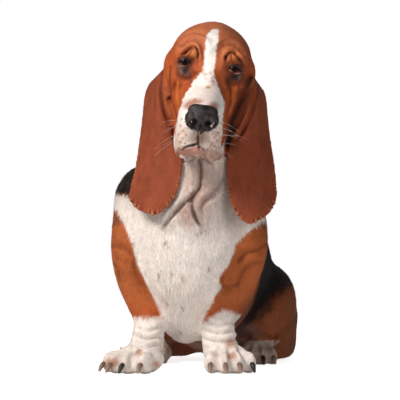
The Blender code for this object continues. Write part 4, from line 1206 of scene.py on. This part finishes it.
    # the hind feet tan behind and white in front, the white painted greyer as shade
    for paw in ("hindpaw_left", "hindpaw_right"):
        ahead_of = PAWS[paw][0][1] + 0.012 - y + ragged * 0.005
        dye("#85492A", on(paw) * 1.0)
        dye("#BDAA9D", on(paw) * step(ahead_of, -0.008, 0.010))
    feet = on(*PAWS)
    dye("#A98F82", feet * step(cloudy, 0.2, 0.9) * 0.5)
    for paw in PAWS:
        for (x, high, _), heading, _, long, _ in toe_places(paw):
            tip = np.array((x + long * math.sin(heading), high - long * math.cos(heading), 0.008))
            far = np.linalg.norm((points - tip) / np.array((1.0, 1.0, 1.2)), axis=1)
            dye("#8F5B43", feet * np.exp(-(far / 0.0105) ** 2) * 0.55)
        # painted shade in the gaps between the toes
        for k in range(TOES - 1):
            dye("#4E3328", feet * near_gap(points, paw, k) ** 2 * 0.65)
    dye("#5E4B44", feet * step(0.004 - z, -0.004, 0.003) * 0.7)
    # the tail's white tip
    tip = np.linalg.norm(points - np.array(TAIL_TIP), axis=1) + ragged * 0.004
    dye("#B4693F", tail * step(0.150 - tip, -0.012, 0.012))
    dye("#EDE3DA", tail * step(0.085 - tip, -0.010, 0.010))
    # no coat is one even colour: sun-bleached and deeper patches, and streaks along the hair
    light = 1 + 0.13 * cloudy + 0.07 * speckle(points * np.array((1, 1, 0.35)), 0.0040, 5)
    light = light + ears * (0.12 * speckle(points * np.array((1, 1, 0.3)), 0.010, 6))
    return np.clip(colours * light[:, None], 0.002, 0.95)


TAIL_TIP = max((tuple(v.co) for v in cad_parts["tail"].data.vertices), key=lambda p: -p[0])
skin_points, skin_normals = points_of(hide), normals_of(hide)
skin_rooms = rooms_of(skin_points)
skin_colours = coat_colours(skin_points, skin_normals, skin_rooms)
tint(hide, skin_colours)

# Coat.
# Short, hard, close hair lying flat, longer on the breast, breeches and tail. Its nap is in the skin's
# bump, and thin overlapping tufts in mesh break the outline and carry the marking's ragged edges.
HAIR_ACROSS = 0.0011  # one lock of the nap as drawn: real hairs, 0.05 mm, are too fine to show
HAIR_ALONG = 0.0085


def turned_flat(ways, normals):
    """Directions laid into the surface."""
    flat = ways - normals * (ways * normals).sum(axis=1)[:, None]
    return flat / np.maximum(np.linalg.norm(flat, axis=1), 1e-6)[:, None]


def lie_of(points, normals, rooms):
    """The way that the coat lies: back over head and trunk, and down the cheeks, ears, breast and legs."""
    over, back, up = np.array(HEAD_POSE.to_3x3()).T
    h = in_head(points)
    ways = np.tile((0.0, 0.10, -1.0), (len(points), 1))
    side = np.clip(np.abs(h[:, 0]) / 0.045, 0, 1)[:, None]
    low = np.clip(-h[:, 2] / 0.050, 0, 1)[:, None]
    head = is_room(rooms, "head", "nose")
    sideways = over * np.sign(h[:, :1]) * 0.25 * (1 - low)
    ways[head] = (back - up * (0.1 + 0.9 * side * low + 0.4 * low) + sideways)[head]
    top = np.clip(normals[:, 2:3] * 0.8 + normals[:, 1:2] * 0.9 + 0.2, 0, 1)
    trunk = is_room(rooms, "neck", "chest", "loin")
    ways[trunk] = (np.array((0.0, 0.15, -1.0)) * (1 - top) + np.array((0.05, 0.85, -0.45)) * top)[trunk]
    haunch = is_room(rooms, "hindleg_left", "hindleg_right")
    ways[haunch] = (0.0, 0.35, -1.0)
    for paw, (_, turn, _, _) in PAWS.items():
        turn = math.radians(turn)
        ways[is_room(rooms, paw)] = (0.55 * math.sin(turn), -0.55 * math.cos(turn), -0.65)
    tail = is_room(rooms, "tail")
    ways[tail] = (np.array(TAIL_TIP) - points + np.array((0.0, 0.02, 0.0)))[tail]
    ways = turned_flat(ways, normals)
    cross = np.cross(normals, ways)
    drift = 0.38 * speckle(points, 0.035, 11) + 0.22 * speckle(points, 0.012, 12)
    return turned_flat(ways + cross * drift[:, None], normals)


skin_lie = lie_of(skin_points, skin_normals, skin_rooms)


def coat_finish(name, nap):
    """Dog hair, clean and dry: satin along the lie, with locks in relief as deep as the nap."""
    material = new_material(name)
    place = (add(material, "TexCoord"), "Object")
    lie = (add(material, "Attribute", attribute_name="lie"), "Vector")
    weights = add(material, "SeparateXYZ", {"Vector": lie})
    height = None
    for axis in "XYZ":
        scale = [1 / HAIR_ACROSS] * 3
        scale["XYZ".index(axis)] = 1 / HAIR_ALONG
        stretched = (add(material, "Mapping", {"Vector": place, "Scale": scale}), "Vector")
        locks = (add(material, "TexNoise", {
            "Vector": stretched, "Scale": 1.0, "Detail": 3.0, "Roughness": 0.65}), "Fac")
        part = (add(material, "Math", {0: locks, 1: (weights, axis)}, operation="MULTIPLY"), "Value")
        if height is not None:
            part = (add(material, "Math", {0: height, 1: part}, operation="ADD"), "Value")
        height = part
    # painted shade between the locks and painted highlight on their backs
    depth = ranged(material, height, 0.30, 0.70, 0.70, 1.17)
    shade = add(material, "VectorMath", {0: painted(material), "Scale": depth}, operation="SCALE")
    shaded(material, {
        "Base Color": (shade, "Vector"), "Roughness": ranged(material, height, 0.3, 0.7, 0.72, 0.52),
        "Normal": uneven(material, height, nap, 0.0012), "Specular IOR Level": 0.12,
    })
    return material


def record_lie(obj, ways):
    """Gives each point of a mesh how far its hair lies along each axis."""
    layer = obj.data.attributes.new("lie", "FLOAT_VECTOR", "POINT")
    layer.data.foreach_set("vector", (ways ** 2).astype(np.float32).ravel())


skin_finish = coat_finish("short smooth dog coat", 0.85)
tuft_finish = coat_finish("locks of dog hair", 0.25)
hide.data.materials.clear()
hide.data.materials.append(skin_finish)
hide.data.polygons.foreach_set("material_index", [0] * len(hide.data.polygons))
record_lie(hide, skin_lie)

# Each kind of coat: which parts wear it, tufts to a square centimetre, their length in millimetres,
# and a slot's name, which is not used
COAT_KINDS = {
    "coat_head": (("head",), 30.0, 3.8, "tan_coat"),
    "coat_ears": ((), 24.0, 3.8, "ear_coat"),
    "coat_neck": (("neck",), 17.0, 7.6, "white_coat"),
    "coat_chest": (("chest",), 17.0, 8.0, "white_coat"),
    "coat_loin": (("loin",), 16.0, 8.5, "black_coat"),
    "coat_hindlegs": (("hindleg_left", "hindleg_right"), 16.0, 8.0, "black_coat"),
    "coat_tail": (("tail",), 20.0, 11.0, "black_coat"),
    "coat_forelegs": (("foreleg_left", "foreleg_right"), 20.0, 5.2, "tan_coat"),
    "coat_paws": (tuple(PAWS), 26.0, 3.4, "white_coat"),
}
# A tuft is a quad with a triangle for its tip: how many points it has, and those its faces join in turn
TUFT_POINTS = 5
TUFT_FACES = (1, 0, 3, 2, 2, 3, 4)


def triangles_of(obj):
    obj.data.calc_loop_triangles()
    corners = np.empty(len(obj.data.loop_triangles) * 3, np.int32)
    obj.data.loop_triangles.foreach_get("vertices", corners)
    return corners.reshape(-1, 3)


def length_share(points, normals, rooms):
    """The hair's length at each place against its kind's: shortest on muzzle and lids, longest behind."""
    h = in_head(points)
    share = np.ones(len(points))
    head = is_room(rooms, "head")
    share = np.where(head, 0.62 + 0.55 * step(h[:, 1], -0.05, 0.06), share)
    share = np.where(head & (h[:, 2] < -0.09), 1.1, share)
    near_eye = np.hypot(np.abs(h[:, 0]) - EYE.x, h[:, 2] - 0.008) < 0.024
    share = np.where(head & near_eye & (h[:, 1] < 0.01), 0.42, share)
    right, left = (crimps(points, name)[0] for name in EARS)
    rims = np.maximum(right * (points[:, 0] < EARS_PART_AT), left * (points[:, 0] > EARS_PART_AT))
    share = np.where(rooms == len(ROOMS), 1 - 0.55 * rims, share)
    under = is_room(rooms, "neck", "chest", "loin") & (normals[:, 2] < -0.25)
    share = np.where(under, 1.35, share)
    breeches = is_room(rooms, "hindleg_left", "hindleg_right", "loin") & (normals[:, 1] > 0.55)
    return np.where(breeches, 1.30, share)


def bare(points):
    """Where no hair grows: in the eye, on the nose pad, and under the soles."""
    h = in_head(points)
    gone = points[:, 2] < 0.0035
    for q in (-1, 1):
        d = in_eye(points, q)
        near = (d[:, 1] < 0.004) & (np.linalg.norm(d, axis=1) < 0.022)
        gone |= (almond(d[:, 0], d[:, 2], q) < 1.35) & near
    pad = (h - np.array(NOSE) - np.array((0, 0.004, 0))) / np.array((0.0275, 0.024, 0.0222))
    return gone | (np.linalg.norm(pad, axis=1) < 1.0)


def unwrapped(points, normals):
    """A place for each point on a flat plan of the piece: six sides, each in its own tile."""
    low, high = points.min(axis=0), points.max(axis=0)
    size = (points - low) / np.maximum(high - low, 1e-6)
    axis = np.abs(normals).argmax(axis=1)
    tile = axis * 2 + (normals[np.arange(len(points)), axis] > 0)
    across = np.where(axis == 0, size[:, 1], size[:, 0])
    along_it = np.where(axis == 2, size[:, 1], size[:, 2])
    row, column = tile // 3, tile % 3
    return np.column_stack([(column + 0.03 + 0.94 * across) / 3, (row + 0.03 + 0.94 * along_it) / 2])


def grow(name, chosen, per_cm2, length, rng):
    """Roots tufts evenly and at random over the chosen triangles of the skin, and makes them one mesh."""
    corners = triangles_of(hide)
    corners = corners[chosen[corners].all(axis=1)]
    a, b, c = (skin_points[corners[:, k]] for k in range(3))
    area = np.linalg.norm(np.cross(b - a, c - a), axis=1) / 2
    count = int(area.sum() * 1e4 * per_cm2)
    pick = np.searchsorted(np.cumsum(area), (np.arange(count) + rng.random(count)) / count * area.sum())
    pick = np.clip(pick, 0, len(corners) - 1)
    w = rng.dirichlet((1, 1, 1), count)[:, :, None]
    fields = (skin_points, skin_normals, skin_lie, skin_colours)
    root, normal, lie, colour = ((field[corners[pick]] * w).sum(axis=1) for field in fields)
    normal /= np.linalg.norm(normal, axis=1)[:, None]
    keep = ~bare(root)
    root, normal, lie, colour = root[keep], normal[keep], lie[keep], colour[keep]
    rooms = skin_rooms[corners[pick[keep], 0]]
    count = len(root)
    lie = turned_flat(lie + np.cross(normal, lie) * rng.normal(0, 0.20, count)[:, None], normal)
    side = np.cross(normal, lie)
    long = length / 1000 * length_share(root, normal, rooms) * rng.uniform(0.70, 1.25, count)
    wide = long * rng.uniform(0.07, 0.12, count) + 0.00025
    lift = long * rng.uniform(0.06, 0.16, count)
    sweep = side * (long * rng.normal(0, 0.10, count))[:, None]
    base = root - normal * 0.0003
    middle = base + lie * (long * 0.48)[:, None] + normal * (lift * 0.75 + 0.0003)[:, None] + sweep * 0.4
    tip = base + lie * long[:, None] + normal * (lift + 0.0002)[:, None] + sweep
    half = side * (wide / 2)[:, None]
    spots = np.stack([base - half * 0.7, base + half * 0.7, middle + half, middle - half, tip], axis=1)
    spots[:, :, 2] = np.maximum(spots[:, :, 2], 0.0006)
    spots = spots.reshape(-1, 3)

    mesh = bpy.data.meshes.new(name)
    mesh.vertices.add(count * TUFT_POINTS)
    mesh.vertices.foreach_set("co", spots.astype(np.float32).ravel())
    loops = (np.arange(count)[:, None] * TUFT_POINTS + np.array(TUFT_FACES)).ravel()
    mesh.loops.add(len(loops))
    mesh.loops.foreach_set("vertex_index", loops.astype(np.int32))
    mesh.polygons.add(count * 2)
    starts = (np.arange(count)[:, None] * len(TUFT_FACES) + np.array((0, 4))).ravel()
    mesh.polygons.foreach_set("loop_start", starts.astype(np.int32))
    mesh.polygons.foreach_set("use_smooth", [True] * (count * 2))
    mesh.update(calc_edges=True)
    patch = np.array([(-1, -1), (1, -1), (1, 0), (-1, 0), (0, 1)]) * 0.0015
    plan = unwrapped(root, normal)[:, None, :] + patch
    uv = mesh.uv_layers.new(name="OFBake")
    uv.data.foreach_set("uv", plan.reshape(-1, 2)[loops].astype(np.float32).ravel())
    tuft = bpy.data.objects.new(name, mesh)
    bpy.context.scene.collection.objects.link(tuft)
    # each a little lighter or darker than the next, dark at the root and pale at the tip
    paler = np.array((0.92, 0.92, 1.0, 1.0, 1.05))
    tone = rng.normal(1.0, 0.050, count)[:, None, None] * paler[None, :, None]
    tint(tuft, np.clip(colour[:, None, :] * tone, 0.002, 0.95).reshape(-1, 3))
    record_lie(tuft, np.repeat(lie, TUFT_POINTS, axis=0))
    leaning = normal + side * rng.normal(0, 0.10, count)[:, None]
    leaning = leaning - lie * rng.uniform(-0.05, 0.15, count)[:, None]
    leaning /= np.linalg.norm(leaning, axis=1)[:, None]
    mesh.normals_split_custom_set_from_vertices(np.repeat(leaning, TUFT_POINTS, axis=0).astype(np.float32))
    mesh.materials.append(tuft_finish)
    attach(tuft, "root")
    return tuft


for seed, (name, (parts, per_cm2, length, slot)) in enumerate(COAT_KINDS.items()):
    chosen = is_room(skin_rooms, *parts) if parts else skin_rooms == len(ROOMS)
    tuft = grow(name, chosen, per_cm2, length, np.random.default_rng(40 + seed))

# Whiskers.
# Stiff, pale, tapered bristles, in rows on each flew, that sweep out and back and droop at the tip.
# Each is a thin tube with its root in the skin.
# smooth horn-like hair: it catches a thin light along its length
bristle = new_material("stiff white whisker")
pale = ramp(bristle, noise(bristle, 700.0, 2.0), (0.0, "#A89A90"), (1.0, "#DCD2CA"))
shaded(bristle, {"Base Color": pale, "Roughness": 0.35})
WHISKER_RADIUS = 0.00019
WHISKER_STEPS = 8
WHISKER_ROOTS = {
    -1: [(177.5, 121), (177.5, 126), (178, 134), (179, 139), (182, 124), (184, 137)],
    1: [(221.5, 122), (221, 136), (220, 144), (217, 127), (216.5, 134), (215, 147)],
}
rng = np.random.default_rng(12)
skin_tree = tree_of(hide)
bristles = []
for q, roots in WHISKER_ROOTS.items():
    for root in seen_at(skin_tree, roots):
        length = rng.uniform(0.026, 0.046)
        rise = rng.uniform(-0.35, 0.25)
        out = Vector((q * 0.95, rng.uniform(-0.80, 0.20), rise)).normalized()
        line = []
        radii = []
        for k in range(WHISKER_STEPS + 1):
            t = k / WHISKER_STEPS
            droop = Vector((0, 0.004 * t * t, -0.30 * length * t * t))
            line.append(Vector(root) + out * length * (t - 0.04) + droop)
            radii.append((WHISKER_RADIUS * (1 - 0.70 * t),) * 2)
        bristles.append(rope(line, radii, 6))
whiskers = gathered(bristles, "whiskers", Matrix())
whiskers.data.materials.append(bristle)
smooth(whiskers)
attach(whiskers, "root")

# Floor and light.
# A plain white studio floor, a large soft lamp high on the left of the picture, a weaker one on the
# right, and even white air all round.
floor = bpy.data.meshes.new("studio_floor")
floor.from_pydata([(-6, -6, 0), (6, -6, 0), (6, 6, 0), (-6, 6, 0)], [], [(0, 1, 2, 3)])
floor = bpy.data.objects.new("studio_floor", floor)
bpy.context.scene.collection.objects.link(floor)
# matt white board, pale and even with a faint grain. As a studio's is lit from below to lose the horizon,
# it glows for the camera alone, and throws only a little light back on the hound
board = new_material("matt white board")
grain = noise(board, 60.0, 2.0)
seen_by_camera = (add(board, "LightPath"), "Is Camera Ray")
shaded(board, {
    "Base Color": ramp(board, grain, (0.0, "#F7F7F6"), (1.0, "#FCFCFB")), "Roughness": 0.9,
    "Normal": uneven(board, grain, 0.05, 0.001), "Specular IOR Level": 0.1,
    "Emission Color": (1.0, 1.0, 1.0, 1.0),
    "Emission Strength": ranged(board, seen_by_camera, 0.0, 1.0, 0.16, 0.84),
})
floor.data.materials.append(board)

world = bpy.data.worlds.new("studio_air")
world.use_nodes = True
world.node_tree.nodes.clear()
bpy.context.scene.world = world
seen = add(world, "Background", {"Color": (1.0, 1.0, 1.0, 1.0), "Strength": 1.0})
glow = add(world, "Background", {"Color": (0.97, 0.98, 1.0, 1.0), "Strength": 0.14})
seen_by_camera = (add(world, "LightPath"), "Is Camera Ray")
both = add(world, "MixShader", {0: seen_by_camera, 1: (glow, "Background"), 2: (seen, "Background")})
add(world, "OutputWorld", {"Surface": (both, "Shader")})

LAMPS_FACE = Vector((0.0, -0.15, 0.28))
for name, at, size, power, colour in [
    ("key_lamp", (-1.7, -1.7, 2.0), 0.9, 86.0, (1.0, 0.965, 0.92)),
    ("fill_lamp", (1.6, -2.4, 0.9), 1.6, 18.0, (0.95, 0.97, 1.0)),
    ("back_lamp", (0.6, 2.2, 2.0), 1.6, 5.0, (1.0, 1.0, 1.0)),
]:
    lamp = bpy.data.objects.new(name, bpy.data.lights.new(name, "AREA"))
    lamp.data.size = size
    lamp.data.energy = power
    lamp.data.color = colour
    lamp.location = at
    lamp.rotation_euler = (LAMPS_FACE - Vector(at)).to_track_quat("-Z", "Y").to_euler()
    bpy.context.scene.collection.objects.link(lamp)
bpy.context.scene.view_settings.view_transform = "Standard"
